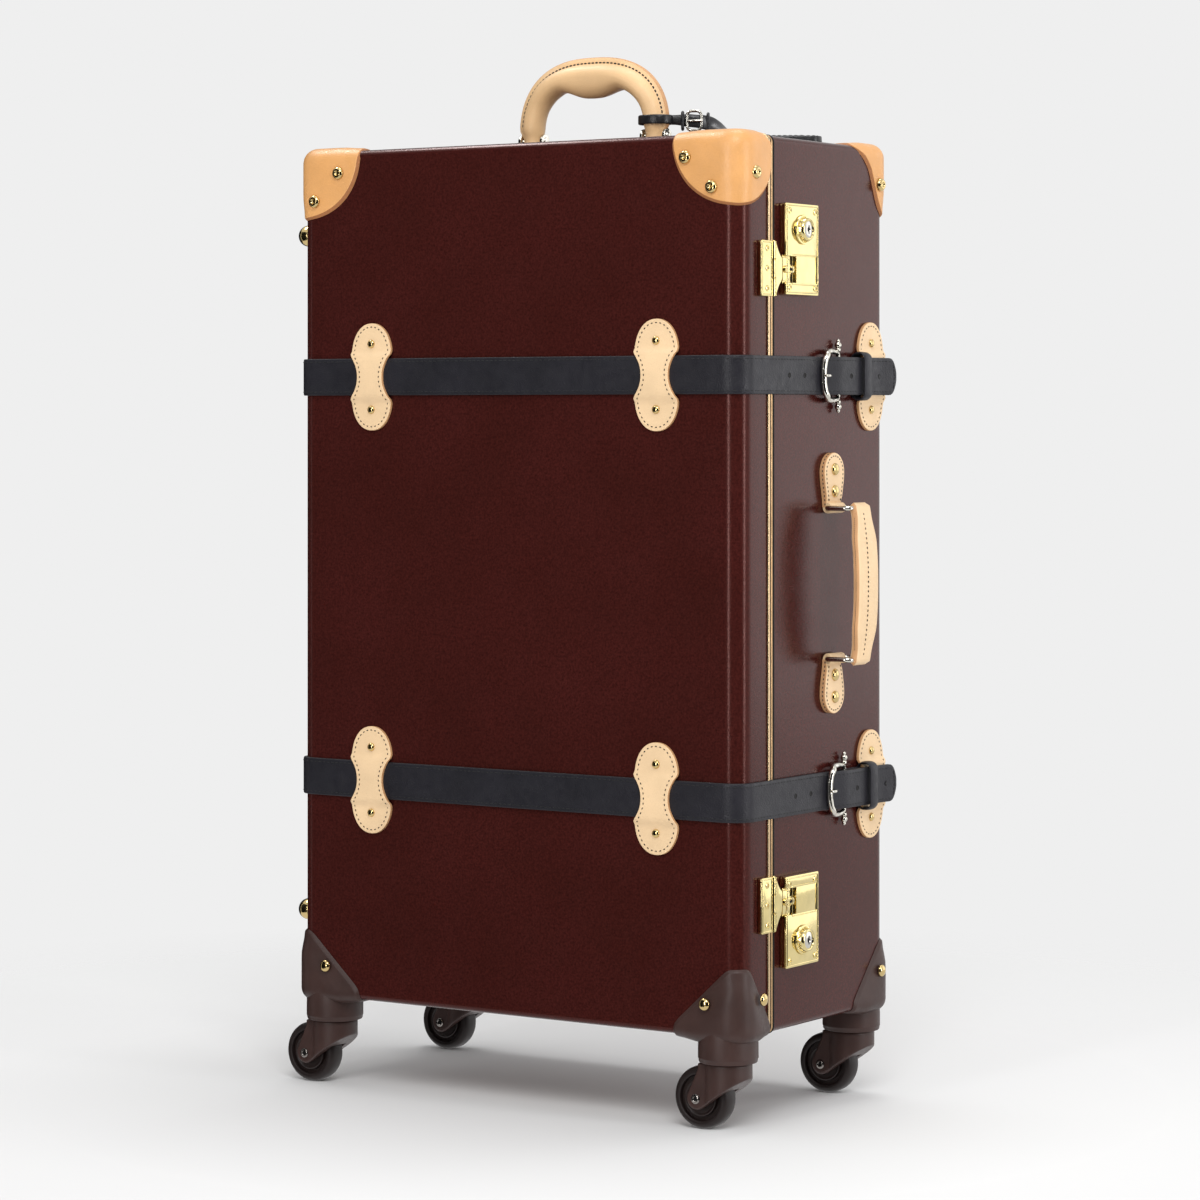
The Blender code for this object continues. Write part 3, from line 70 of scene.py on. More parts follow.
class Look:
    """A Principled material with short ways to add its nodes."""

    def __init__(self, name, color, rough, metal=0.0, **sockets):
        self.mat = bpy.data.materials.new(name)
        self.mat.use_nodes = True
        self.tree = self.mat.node_tree
        self.shader = self.tree.nodes["Principled BSDF"]
        self.shader.inputs["Base Color"].default_value = (*color, 1)
        self.shader.inputs["Roughness"].default_value = rough
        self.shader.inputs["Metallic"].default_value = metal
        for key, value in sockets.items():
            self.shader.inputs[key.replace("_", " ")].default_value = value
        self.place = self.tree.nodes.new("ShaderNodeTexCoord").outputs["Object"]

    def node(self, kind, links=None, **values):
        made = self.tree.nodes.new(f"ShaderNode{kind}")
        for key, value in values.items():
            if key in made.inputs:
                made.inputs[key].default_value = value
            else:
                setattr(made, key, value)
        for key, source in (links or {}).items():
            self.tree.links.new(source, made.inputs[key])
        return made

    def stretch(self, scale):
        return self.node("Mapping", {"Vector": self.place}, Scale=scale).outputs[0]

    def noise(self, scale, detail=3.0, rough=0.55, at=None):
        return self.node("TexNoise", {"Vector": at or self.place}, Scale=scale, Detail=detail,
                         Roughness=rough).outputs["Fac"]

    def cells(self, scale, at=None, feature="F1"):
        return self.node("TexVoronoi", {"Vector": at or self.place}, Scale=scale,
                         feature=feature).outputs["Distance"]

    def ramp(self, value, low, high, start, end):
        made = self.node("MapRange", {"Value": value})
        for key, number in zip(("From Min", "From Max", "To Min", "To Max"), (low, high, start, end)):
            made.inputs[key].default_value = number
        return made.outputs[0]

    def tint(self, factor, first, second):
        made = self.node("Mix", data_type="RGBA")
        self.tree.links.new(factor, made.inputs[0])
        for socket, color in ((made.inputs[6], first), (made.inputs[7], second)):
            if isinstance(color, tuple):
                socket.default_value = (*color, 1)
            else:
                self.tree.links.new(color, socket)
        return made.outputs[2]

    def calc(self, operation, a, b):
        made = self.node("Math", operation=operation)
        for socket, value in zip(made.inputs, (a, b)):
            if isinstance(value, (int, float)):
                socket.default_value = value
            else:
                self.tree.links.new(value, socket)
        return made.outputs[0]

    def color(self, source):
        self.tree.links.new(source, self.shader.inputs["Base Color"])

    def rough(self, source):
        self.tree.links.new(source, self.shader.inputs["Roughness"])

    def bump(self, height, distance, strength=1.0):
        made = self.node("Bump", {"Height": height}, Strength=strength, Distance=distance)
        current = self.shader.inputs["Normal"].links
        if current:
            self.tree.links.new(current[0].from_socket, made.inputs["Normal"])
        self.tree.links.new(made.outputs[0], self.shader.inputs["Normal"])


def shade(color, factor):
    return tuple(min(c * factor, 1.0) for c in color)


def leather(name, color, rough=0.46, grain=850, depth=0.00012, spread=0.16, **sockets):
    """Hide with slow colour changes, fine pores and a pebbled grain."""
    look = Look(name, color, rough, **sockets)
    patches = look.noise(26, 4)
    pores = look.noise(1500, 2)
    tone = look.tint(look.ramp(patches, 0.3, 0.7, 0, 1), shade(color, 1 - spread),
                     shade(color, 1 + spread * 0.6))
    tone = look.tint(look.ramp(pores, 0.58, 0.75, 0, 0.35), tone, shade(color, 0.62))
    look.color(tone)
    look.rough(look.ramp(look.noise(140, 3), 0.3, 0.7, rough - 0.07, rough + 0.08))
    look.bump(look.cells(grain), depth)
    look.bump(look.noise(60, 3), depth * 2.5)
    return look.mat


def metal(name, color, rough, brushed=0.5, **sockets):
    """Plated metal with slow tarnish, fine hairlines and small dents."""
    look = Look(name, color, rough, 1.0, **sockets)
    tarnish = look.noise(70, 4)
    look.color(look.tint(look.ramp(tarnish, 0.35, 0.75, 0, 1), color, shade(color, 0.86)))
    hair = look.noise(900, 2, at=look.stretch((1, 1, 0.06)))
    both = look.calc("ADD", look.calc("MULTIPLY", hair, brushed), tarnish)
    look.rough(look.ramp(both, 0.5, 1.2, rough * 0.75, rough * 1.4))
    look.bump(look.noise(260, 2), 0.00004)
    return look.mat


def plastic(name, color, rough, grain=2200):
    look = Look(name, color, rough, Specular_IOR_Level=0.35)
    mottle = look.ramp(look.noise(45, 4), 0.3, 0.7, 0, 1)
    look.color(look.tint(mottle, shade(color, 0.86), shade(color, 1.14)))
    look.rough(look.ramp(look.noise(300, 3), 0.3, 0.7, rough - 0.05, rough + 0.07))
    look.bump(look.cells(grain), 0.00005)
    return look.mat


def covering():
    """Coated book-cloth of the case: dark, fine pebbles, a soft gloss, faint mottling."""
    dark, light = rgb("3d1814"), rgb("461c19")
    look = Look("shell_covering", dark, 0.28, Specular_IOR_Level=0.26, Specular_Tint=(1.0, 0.55, 0.50, 1.0))
    mottle = look.noise(9, 5)
    fine = look.noise(560, 3, 0.6)
    tone = look.tint(look.ramp(mottle, 0.32, 0.7, 0, 1), dark, light)
    tone = look.tint(look.ramp(fine, 0.3, 0.7, 0, 0.9), tone, rgb("290d0b"))
    look.color(tone)
    look.rough(look.ramp(look.noise(40, 4), 0.3, 0.7, 0.17, 0.23))
    look.bump(fine, 0.00012, 0.7)
    look.bump(look.noise(1500, 2), 0.00005, 0.5)
    return look.mat


def cloth(name, color):
    """Woven lining: threads over and under in two directions."""
    look = Look(name, color, 0.85, Sheen_Weight=0.25)
    first, second = (look.node("TexWave", {"Vector": look.place}, Scale=420, bands_direction=way)
                     for way in ("Z", "DIAGONAL"))
    weave = look.calc("MULTIPLY", first.outputs["Fac"], second.outputs["Fac"])
    tone = look.tint(look.ramp(weave, 0, 1, 0, 0.5), shade(color, 0.8), shade(color, 1.1))
    look.color(look.tint(look.ramp(look.noise(18, 4), 0.35, 0.7, 0, 0.4), tone, shade(color, 0.82)))
    look.bump(weave, 0.0003)
    return look.mat


def rubber():
    color = rgb("1f1615")
    look = Look("wheel_rubber", color, 0.5, Specular_IOR_Level=0.3)
    dust = look.noise(90, 5)
    look.color(look.tint(look.ramp(dust, 0.5, 0.8, 0, 0.3), color, rgb("322724")))
    look.rough(look.ramp(dust, 0.3, 0.8, 0.38, 0.6))
    look.bump(look.noise(1300, 3), 0.00006)
    return look.mat


COVER = covering()
GOLD = metal("rim_gold", rgb("d8bc94"), 0.27)
INLAY = metal("rim_inlay", rgb("c9a67d"), 0.38)
BRASS = metal("brass", rgb("ead79a"), 0.13, 0.35)
RIVET_BRASS = metal("rivet_brass", rgb("dcc288"), 0.16, 0.3)
NICKEL = metal("nickel", rgb("d9d5cb"), 0.14, 0.35)
STEEL = metal("axle_steel", rgb("8f8985"), 0.24, 0.3)
TUBE = metal("tube_aluminium", rgb("c3c4c8"), 0.30, 0.7)
CAP = leather("cap_leather", rgb("d99f61"), 0.36, spread=0.10)
CAP_EDGE = leather("cap_cut_edge", rgb("a4693a"), 0.62, 1500, 0.0003)
TAN = leather("tan_leather", rgb("e5c59b"), 0.46, spread=0.09)
HANDLE_TAN = leather("handle_leather", rgb("e6bf8e"), 0.44, spread=0.08)
TAN_EDGE = leather("tan_cut_edge", rgb("d3a070"), 0.6, 1500, 0.0003)
NAVY = leather("strap_leather", rgb("212026"), 0.42, 700, 0.00014, 0.2, Specular_IOR_Level=0.3)
NAVY_EDGE = leather("strap_cut_edge", rgb("19181d"), 0.55, 1400, 0.0002)
BLACK = leather("tag_leather", rgb("1a1a1d"), 0.34, 700, 0.0001, 0.25)
THREAD = leather("thread_dark", rgb("2a211c"), 0.75, 3000, 0.0001)
STRAP_THREAD = leather("strap_thread", rgb("101014"), 0.6, 3000, 0.0001)
GUARD = plastic("guard_plastic", rgb("3b2824"), 0.40)
PULL = plastic("pull_plastic", rgb("1d1a1a"), 0.40)
RUBBER = rubber()
HUB = plastic("hub_plastic", rgb("241917"), 0.36)
# Near-black plastic that paints shade into slots, holes and recesses, and along the seam of the base.
RECESS_SHADE = plastic("painted_recess_shade", rgb("0c0a0a"), 0.7)
LINING = cloth("lining_cloth", rgb("b9a183"))


# Form building

class Form:
    """Collects the points and faces of one piece."""

    def __init__(self):
        self.points = []
        self.faces = []
        self.mats = []

    def skin(self, rows, closed=True, ends=(False, False), mat=0):
        """Quads between rows of points; ends closes the first or last row with one face."""
        start = len(self.points)
        count = len(rows[0])
        for row in rows:
            self.points += [tuple(p) for p in row]
        span = count if closed else count - 1
        for j in range(len(rows) - 1):
            a = start + j * count
            for i in range(span):
                k = (i + 1) % count
                self.add((a + i, a + k, a + count + k, a + count + i), mat)
        if ends[0]:
            self.add(tuple(range(start + count - 1, start - 1, -1)), mat)
        if ends[1]:
            last = start + (len(rows) - 1) * count
            self.add(tuple(range(last, last + count)), mat)
        return self

    def add(self, face, mat):
        self.faces.append(face)
        self.mats.append(mat)

    def copy(self, other, matrix, mat=None):
        start = len(self.points)
        self.points += [tuple(matrix @ Vector(p)) for p in other.points]
        for face, own in zip(other.faces, other.mats):
            self.add(tuple(start + i for i in face), own if mat is None else mat)
        return self

    def mesh(self, name, smooth=38):
        data = bpy.data.meshes.new(name)
        data.from_pydata(self.points, [], self.faces)
        shape = bmesh.new()
        shape.from_mesh(data)
        for face, mat in zip(shape.faces, self.mats):
            face.material_index = mat
            face.smooth = True
        bmesh.ops.remove_doubles(shape, verts=shape.verts, dist=0.000002)
        bmesh.ops.dissolve_degenerate(shape, edges=shape.edges, dist=0.000001)
        bmesh.ops.recalc_face_normals(shape, faces=shape.faces)
        shape.to_mesh(data)
        shape.free()
        data.set_sharp_from_angle(angle=math.radians(smooth))
        return data

    def piece(self, name, mats, body, slot, hides=(), smooth=38):
        return settle(name, self.mesh(name, smooth), mats, body, hides)


def settle(name, data, mats, body, hides=()):
    """An object of finished mesh data, riding on its body."""
    made = bpy.data.objects.new(name, data)
    bpy.context.scene.collection.objects.link(made)
    for mat in mats if isinstance(mats, (list, tuple)) else [mats]:
        data.materials.append(mat)
    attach(made, body)
    if hides:
        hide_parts(*([hides] if isinstance(hides, str) else hides))
    return made


def loose(name, form):
    """A bare object, used up while another piece is shaped."""
    made = bpy.data.objects.new(name, form.mesh(name))
    bpy.context.scene.collection.objects.link(made)
    return made


def carve(made, tool, operation):
    """Boolean of one bare object with another, which goes."""
    step = made.modifiers.new("carve", "BOOLEAN")
    step.object, step.solver, step.operation = tool, "EXACT", operation
    graph = bpy.context.evaluated_depsgraph_get()
    clean = bpy.data.meshes.new_from_object(made.evaluated_get(graph))
    made.modifiers.remove(step)
    made.data = clean
    bpy.data.objects.remove(tool)


def sweep(end, steps, first=0):
    """Even values up to an end, such as angles; the last of them is the end."""
    return [end * k / steps for k in range(first, steps + 1)]


def arc(center, radius, start, end, steps):
    turns = [math.radians(start + (end - start) * i / steps) for i in range(steps + 1)]
    return [(center[0] + radius * math.cos(t), center[1] + radius * math.sin(t)) for t in turns]


def rounded_rect(width, height, radius, steps=6):
    u, v = width / 2 - radius, height / 2 - radius
    points = []
    for quarter, (su, sv) in enumerate(((1, 1), (-1, 1), (-1, -1), (1, -1))):
        points += arc((su * u, sv * v), radius, 90 * quarter, 90 * quarter + 90, steps)
    return points


def ease(value, start, end):
    t = min(max((value - start) / (end - start), 0), 1)
    return t * t * (3 - 2 * t)


def basis(at, u, v, w):
    """Matrix of three directions and a place."""
    made = Matrix((u, v, w)).transposed().to_4x4()
    made.translation = Vector(at)
    return made


def axes(origin, u, v):
    """Matrix of a plane: two directions in it and its outward normal."""
    u, v = Vector(u).normalized(), Vector(v).normalized()
    return basis(origin, u, v, u.cross(v))


def at_plane(plane, u, v, h):
    made = plane.copy()
    made.translation = plane @ Vector((u, v, h))
    return made


def right_side(y, z):
    return axes((X1, y, z), Y, Z)


def front_side(x, z):
    return axes((x, FRONT, z), X, Z)


def back_side(x, z):
    return axes((x, BACK, z), -X, Z)


def left_side(y, z):
    return axes((X0, y, z), -Y, Z)


def center_of(name):
    """Middle of a CAD node's box."""
    return [(low + high) / 2 for low, high in zip(*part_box(name))]


def lathe(form, profile, plane, steps=32, mat=0, stretch=(1, 1)):
    """Turns (radius, height) points about the plane's normal."""
    ring = [(stretch[0], math.cos(t), stretch[1], math.sin(t)) for t in sweep(FULL, steps)[:-1]]
    rows = [[plane @ Vector((radius * a * c, radius * b * s, height)) for a, c, b, s in ring]
            for radius, height in profile]
    return form.skin(rows, mat=mat)


def inset(outline, depth):
    """Closed outline moved inward along its normals."""
    count = len(outline)
    area = sum(outline[i - 1][0] * outline[i][1] - outline[i][0] * outline[i - 1][1] for i in range(count))
    sign = 1 if area > 0 else -1
    made = []
    for i in range(count):
        (ax, ay), (bx, by) = outline[i - 1], outline[(i + 1) % count]
        dx, dy = bx - ax, by - ay
        size = math.hypot(dx, dy) or 1
        made.append((outline[i][0] - sign * dy / size * depth, outline[i][1] + sign * dx / size * depth))
    return made


def even(outline, pitch, closed=True):
    """Evenly spaced (point, direction) pairs along a line of points."""
    line = [Vector(p) for p in outline]
    if closed:
        line.append(line[0])
    lengths = [(b - a).length for a, b in zip(line, line[1:])]
    total = sum(lengths)
    count = max(int(round(total / pitch)), 2)
    step = total / count
    made = []
    travelled, index = 0.0, 0
    for i in range(count if closed else count + 1):
        target = min(i * step, total - 1e-9)
        while travelled + lengths[index] < target:
            travelled += lengths[index]
            index += 1
        way = (line[index + 1] - line[index]).normalized()
        made.append((line[index] + way * (target - travelled), way))
    return made


def patch(form, outline, place, thick, soft=0.0009, rings=7, mat=0, edge=1, crown=0.0):
    """Leather or plate with a rounded rim: place(u, v, height) puts a point in space."""
    form.skin([[place(u, v, h) for u, v in outline] for h in (0.0, thick - soft)], mat=edge)
    rows = []
    for turn in sweep(QUARTER, 4):
        line = inset(outline, soft * (1 - math.cos(turn)))
        rows.append([place(u, v, thick - soft + soft * math.sin(turn)) for u, v in line])
    form.skin(rows[:3], mat=edge)
    form.skin(rows[2:], mat=mat)
    line = inset(outline, soft)
    cu, cv = (sum(p[k] for p in line) / len(line) for k in (0, 1))
    rows = []
    for k in range(rings + 1):
        s = 1 - k / rings
        lift = thick + crown * (1 - s * s)
        rows.append([place(cu + (u - cu) * s, cv + (v - cv) * s, lift) for u, v in line])
    return form.skin(rows, mat=mat)


def flat(plane, lift=0.0):
    """Placing of (u, v, height) on a plane, from a height above it."""
    return lambda u, v, h: plane @ Vector((u, v, lift + h))


def tube(form, path, radii, sides=14, closed=False, mat=0, caps=True):
    """Round bar along a path, with one radius or one for each point."""
    path = [Vector(p) for p in path]
    count = len(path)
    radii = [radii] * count if isinstance(radii, (int, float)) else radii
    rows, side = [], None
    for i, spot in enumerate(path):
        after = path[(i + 1) % count] if closed or i < count - 1 else spot
        before = path[i - 1] if closed or i else spot
        way = (after - before).normalized()
        if side is None:
            side = way.orthogonal().normalized()
        side = (side - way * side.dot(way)).normalized()
        other = way.cross(side)
        rows.append([spot + (side * math.cos(t) + other * math.sin(t)) * radii[i]
                     for t in sweep(FULL, sides)[:-1]])
    if closed:
        rows.append(rows[0])
        twist = min(range(sides), key=lambda k: (rows[0][k] - rows[-2][0]).length)
        rows[-1] = rows[0][twist:] + rows[0][:twist]
    return form.skin(rows, ends=(caps and not closed, caps and not closed), mat=mat)


def smooth_line(points, steps=6, closed=False):
    """Catmull-Rom curve through points."""
    points = [Vector(p) for p in points]
    count = len(points)
    made = []
    for i in range(count if closed else count - 1):
        a, b, c, d = (points[(i + k) % count] if closed else points[min(max(i + k, 0), count - 1)]
                      for k in (-1, 0, 1, 2))
        for j in range(steps):
            t = j / steps
            made.append(0.5 * (2 * b + (c - a) * t + (2 * a - 5 * b + 4 * c - d) * t * t
                               + (3 * b - 3 * c + d - a) * t ** 3))
    return made if closed else made + [points[-1]]


def block(form, outline, plane, low, high, soft, mat=0, steps=3):
    """Flat metal or plastic plate with softened rims on both sides."""
    turns = sweep(QUARTER, steps)
    rows = [(soft * (1 - math.sin(t)), low + soft * (1 - math.cos(t))) for t in turns]
    rows += [(soft * (1 - math.cos(t)), high - soft * (1 - math.sin(t))) for t in turns]
    made = [[plane @ Vector((u, v, h)) for u, v in inset(outline, d)] for d, h in rows]
    return form.skin(made, ends=(True, True), mat=mat)


# Small parts that repeat

def dome(radius, height):
    """Rivet head."""
    profile = [(TINY, height)]
    profile += [(radius * math.sin(t), height * (0.18 + 0.82 * math.cos(t))) for t in sweep(QUARTER, 8, 1)]
    return lathe(Form(), profile + [(radius, 0.0)], Matrix(), 24)


def eyelet(radius, height):
    """Rivet head with a dimpled middle."""
    shares = ((0.16, 0.45), (0.3, 0.62), (0.42, 0.95), (0.55, 1), (0.75, 0.86), (0.92, 0.5), (1, 0.12),
              (1, 0))
    profile = [(TINY, height * 0.45)] + [(radius * r, height * h) for r, h in shares]
    return lathe(Form(), profile, Matrix(), 26)


def screw(radius, height):
    """Round screw head with a cross slot."""
    steps, rings = 32, 9
    rows = []
    for j in range(rings + 1):
        r = radius * j / rings
        ring = []
        for t in sweep(FULL, steps)[:-1]:
            x, y = r * math.cos(t), r * math.sin(t)
            lift = height * math.sqrt(max(1 - 0.85 * (r / radius) ** 2, 0.0))
            if min(abs(x), abs(y)) < radius * 0.17 and max(abs(x), abs(y)) < radius * 0.66:
                lift -= height * 0.62
            ring.append((x, y, lift))
        rows.append(ring)
    rows.append([(x, y, 0) for x, y, _ in rows[-1]])
    return Form().skin(rows)


def stitch(length, width, height):
    """One raised stitch, lying along X."""
    rows = []
    for t in sweep(math.pi, 6):
        size = max(math.sin(t), 0.04) ** 0.6
        rows.append([(-math.cos(t) * length / 2, width / 2 * size * math.cos(a), height * size * math.sin(a))
                     for a in sweep(FULL, 8)[:-1]])
    return Form().skin(rows, ends=(True, True))


def sew(form, seam, place, thread, mat=0, closed=True, pitch=0.0043, height=0.0):
    """Stitches along a 2D line, placed by place(u, v, height)."""
    for spot, way in even(seam, pitch, closed):
        at = Vector(place(spot.x, spot.y, height))
        along = Vector(place(spot.x + way.x * 0.0005, spot.y + way.y * 0.0005, height)) - at
        up = Vector(place(spot.x, spot.y, height + 0.001)) - at
        along.normalize()
        across = up.cross(along).normalized()
        form.copy(thread, basis(at, along, across, along.cross(across)), mat)


RIVET = dome(0.0036, 0.0026)
STUD = dome(0.0052, 0.0034)
EYELET = eyelet(0.0057, 0.0031)
SCREW = screw(0.0027, 0.0012)
DOT = stitch(0.0019, 0.0010, 0.00045)
STRAND = stitch(0.0034, 0.0009, 0.0005)


# Case shells

def around(d, mouth, far, radius):
    """Plan of a shell, from the mouth round the far side and back, drawn in by d."""
    way = 1 if far > mouth else -1
    r = max(radius - d, 0.0008)
    edge = far - way * d
    line = [(X0 + d, mouth), (X0 + d, mouth + way * 0.012), (X0 + d, edge - way * r)]
    line += [(X0 + d + r - r * math.cos(t), edge - way * (r - r * math.sin(t)))
             for t in sweep(QUARTER, 12, 1)]
    return line + [(X0 + X1 - x, y) for x, y in reversed(line)]


def shell(name, mouth, far, body, hides, cut=None):
    """Closed shell with a covered outside and a lined inside."""
    form = Form()
    loops = []
    for wall, mat in ((0.0, 0), (WALL, 1)):
        e = max(EDGE_R - wall, 0.0015)
        curve = [(e * (1 - math.sin(t)), e * (1 - math.cos(t))) for t in sweep(QUARTER, 8)]
        levels = [(d, BOTTOM + wall + h) for d, h in curve]
        levels += [(d, TOP - wall - h) for d, h in reversed(curve)]
        rows = [[Vector((x, y, z)) for x, y in around(d + wall, mouth, far, CORNER_R)] for d, z in levels]
        start = len(form.points)
        form.skin(rows, closed=False, mat=mat)
        n = len(rows[0])
        for level in (0, len(rows) - 1):
            a = start + level * n
            for i in range(n // 2 - 1):
                form.add((a + i, a + i + 1, a + n - 2 - i, a + n - 1 - i), mat)
        loops.append([row[0] for row in rows] + [row[-1] for row in reversed(rows)])
    form.skin(loops, mat=0)
    data = form.mesh(name, 30)
    made = settle(name, data, [COVER, LINING], body, hides)
    if cut:
        carve(made, loose("knife", cut), "DIFFERENCE")
        made.data.set_sharp_from_angle(angle=math.radians(30))
    return made


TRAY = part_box("pull_tray")
TRAY_C = Vector((*center_of("pull_tray")[:2], TOP))
knife = Form()
block(knife, rounded_rect(0.1605, 0.0365, 0.0155, 8), axes(TRAY_C, X, Y), -0.05, 0.02, 0.0002)
shell("case_base", SEAM + 0.0003, BACK, "base", "base_shell", knife)
shell("case_lid", SEAM - 0.0063, FRONT, "lid", "lid_shell")


def rim(name, profile, body, mats, hides=()):
    """Band round the mouth, from (y, outward) points: metal, or the near-black strip of painted shade at the
    seam.
    """
    form = Form()
    rows = []
    for y, out in profile:
        outline = rounded_rect(X1 - X0 + 2 * out, TOP - BOTTOM + 2 * out, max(EDGE_R + out, 0.001), 8)
        rows.append([(MID + u, SEAM + y, (TOP + BOTTOM) / 2 + v) for u, v in outline])
    form.skin(rows)
    return form.piece(name, mats, body, "rim_metal", hides, 50)


BAND = [(-0.0066, -0.0070), (-0.0066, 0.0006), (-0.0064, 0.0012), (-0.0059, 0.0015), (-0.0040, 0.0016),
        (-0.0035, 0.0014), (-0.0033, 0.0008), (-0.0031, 0.0001), (-0.0027, 0.0003), (-0.0010, 0.0001),
        (-0.0004, -0.0004), (-0.0002, -0.0010), (-0.0002, -0.0042), (0.0055, -0.0048), (0.0055, -0.0066),
        (-0.0066, -0.0070)]
GASKET = [(0.0003, -0.0012), (0.0003, 0.0001), (0.0007, 0.0004), (0.0024, 0.0004), (0.0027, 0.0001),
          (0.0027, -0.0004)]
EDGE = [(0.0026, -0.0002), (0.0026, 0.0006), (0.0030, 0.0010), (0.0037, 0.0010), (0.0041, 0.0006),
        (0.0041, -0.0002)]
rim("rim_band", BAND, "lid", GOLD, "lid_rim")
rim("base_gasket", GASKET, "base", INLAY)
# The base_edge band is near-black: painted shade along the seam between lid and base.
rim("base_edge", EDGE, "base", RECESS_SHADE)


# Corner caps and guards

def corner_point(dx, dy, dz, offset, sx, sy, top):
    """Point on the case's rounded corner, offset outward; dx, dy, dz run in from the offset planes."""
    r1, r2 = CORNER_R + offset, EDGE_R + offset + (0.0036 if top else 0)
    if dx < r1 and dy < r1:
        v = Vector((r1 - dx, r1 - dy))
        reach = max(v.x, v.y)
        v = v.normalized() * reach
        inner = r1 - reach
    else:
        v = None
        inner = min(dx, dy)
    if inner < r2 and dz < r2:
        w = Vector((r2 - inner, r2 - dz))
        w = w.normalized() * max(w.x, w.y)
        inner, dz = r2 - w.x, r2 - w.y
        if v is not None:
            v = v.normalized() * (r1 - inner)
        elif dx < dy:
            dx = inner
        else:
            dy = inner
    if v is not None:
        dx, dy = r1 - v.x, r1 - v.y
    x = X1 + offset - dx if sx > 0 else X0 - offset + dx
    y = BACK + offset - dy if sy > 0 else FRONT - offset + dy
    z = TOP + offset - dz if top else BOTTOM - offset + dz
    return Vector((x, y, z))


def corner_form(form, reach, thick, sx, sy, top, steps=26, soft=0.0009, edge=1, rings=13, thin=0.0021):
    """Sheet moulded over a corner, thin at its border; reach(face, angle) gives its extent on each face."""
    rays = [(face, QUARTER * i / steps) for face in range(3) for i in range(steps)]

    def spot(face, angle, s, offset):
        c, n = s * math.cos(angle), s * math.sin(angle)
        dx, dy, dz = ((c, 0, n), (0, n, c), (n, c, 0))[face]
        return corner_point(dx, dy, dz, offset, sx, sy, top)

    ends = [reach(face, angle) for face, angle in rays]
    for _ in range(2):
        ends = [(ends[i - 1] + 2 * ends[i] + ends[(i + 1) % len(ends)]) / 4 for i in range(len(ends))]
    skirt = [[spot(f, a, e, h) for (f, a), e in zip(rays, ends)] for h in (GAP, GAP + thin - soft)]
    form.skin(skirt, mat=edge)
    rows = []
    for t in sweep(QUARTER, 4):
        rows.append([spot(f, a, e - soft * (1 - math.cos(t)), GAP + thin - soft + soft * math.sin(t))
                     for (f, a), e in zip(rays, ends)])
    form.skin(rows[:3], mat=edge)
    form.skin(rows[2:], mat=0)
    rows = []
    for k in range(rings + 1):
        share = 1 - k / rings
        lift = GAP + thin + (thick - thin) * ease(1 - share, 0, 0.3)
        rows.append([spot(f, a, max((e - soft) * share, TINY), lift) for (f, a), e in zip(rays, ends)])
    form.skin(rows, mat=0)


def polygon_reach(points):
    """Extent of a polygon (corner at the origin) along an angle."""

    def reach(angle):
        c, n = math.cos(angle), math.sin(angle)
        best = None
        for (ax, ay), (bx, by) in zip(points, points[1:]):
            ex, ey = bx - ax, by - ay
            det = c * -ey + ex * n
            if abs(det) < 1e-12:
                continue
            s = (ax * -ey + ex * ay) / det
            t = (c * ay - n * ax) / det
            if -1e-6 <= t <= 1 + 1e-6 and s > 0:
                best = s if best is None else min(best, s)
        return best

    return reach


HOLLOW = [(0.0600, -0.001), (0.0600, 0.0080), (0.0575, 0.0135), (0.0500, 0.0190), (0.0360, 0.0250),
          (0.0200, 0.0320), (0.0100, 0.0420), (0.0040, 0.0520), (0.0010, 0.0570), (-0.001, 0.0580)]


def cap_reach(along_x, along_y, drop, stop, hollow):
    """Rounded shield outline on each face: front (x, z), side (z, y), top (y, x)."""
    sizes = ((along_x, drop), (drop, along_y), (along_y, along_x))
    flank = polygon_reach(HOLLOW)

    def reach(face, angle):
        if face == 1 and hollow:
            return flank(angle)
        a, b = sizes[face]
        c, n = math.cos(angle), math.sin(angle)
        s = (abs(c / a) ** 2.25 + abs(n / b) ** 2.25) ** (-1 / 2.25)
        share = (0, n, c)[face]
        return min(s, stop / share) if share > 0.01 and stop else s

    return reach


def from_edge(sx, sy, dx, dy):
    """Plan place dx and dy in from two sides of the case."""
    return X1 - dx if sx > 0 else X0 + dx, BACK - dy if sy > 0 else FRONT + dy


CAP_T = 0.0034
HEAD_SINK = 0.0003
CAPS = {"lid": (-1, 0.067, 0.053, 0.060, 0.0460, 0.018), "base": (1, 0.067, 0.0575, 0.060, None, 0.016)}
CAP_RIVETS = {"left": ((0.0445, 0.0195), (0.0185, 0.0435)), "right": ((0.0520, 0.0190), (0.0265, 0.0440))}
for side, sx in (("left", -1), ("right", 1)):
    for half, (sy, ax, ay, drop, stop, dy) in CAPS.items():
        form = Form()
        corner_form(form, cap_reach(ax, ay, drop, stop, half == "base"), CAP_T, sx, sy, True)
        form.piece(f"cap_{half}_{side}", [CAP, CAP_EDGE], half, "corner_leather", f"corner_{half}_{side}", 50)
        heads = Form()
        out = GAP + CAP_T - HEAD_SINK
        for dx, dz in CAP_RIVETS[side]:
            heads.copy(EYELET, axes((*from_edge(sx, sy, dx, -out), TOP - dz), -sy * X, Z))
        heads.copy(EYELET, axes((*from_edge(sx, sy, -out, dy), TOP - 0.032), sx * Y, Z))
        heads.piece(f"cap_rivets_{half}_{side}", RIVET_BRASS, half, "brass_fittings")


def guard_reach(reach_x, reach_y, rise, foot, crown):
    front = polygon_reach([(reach_x, -0.001), (reach_x, foot), (crown, rise), (-0.001, rise)])
    side = polygon_reach([(rise, -0.001), (rise, crown), (foot, reach_y), (-0.001, reach_y)])
    under = polygon_reach([(reach_y, -0.001), (reach_y, reach_x), (-0.001, reach_x)])
    return lambda face, angle: (front, side, under)[face](angle)


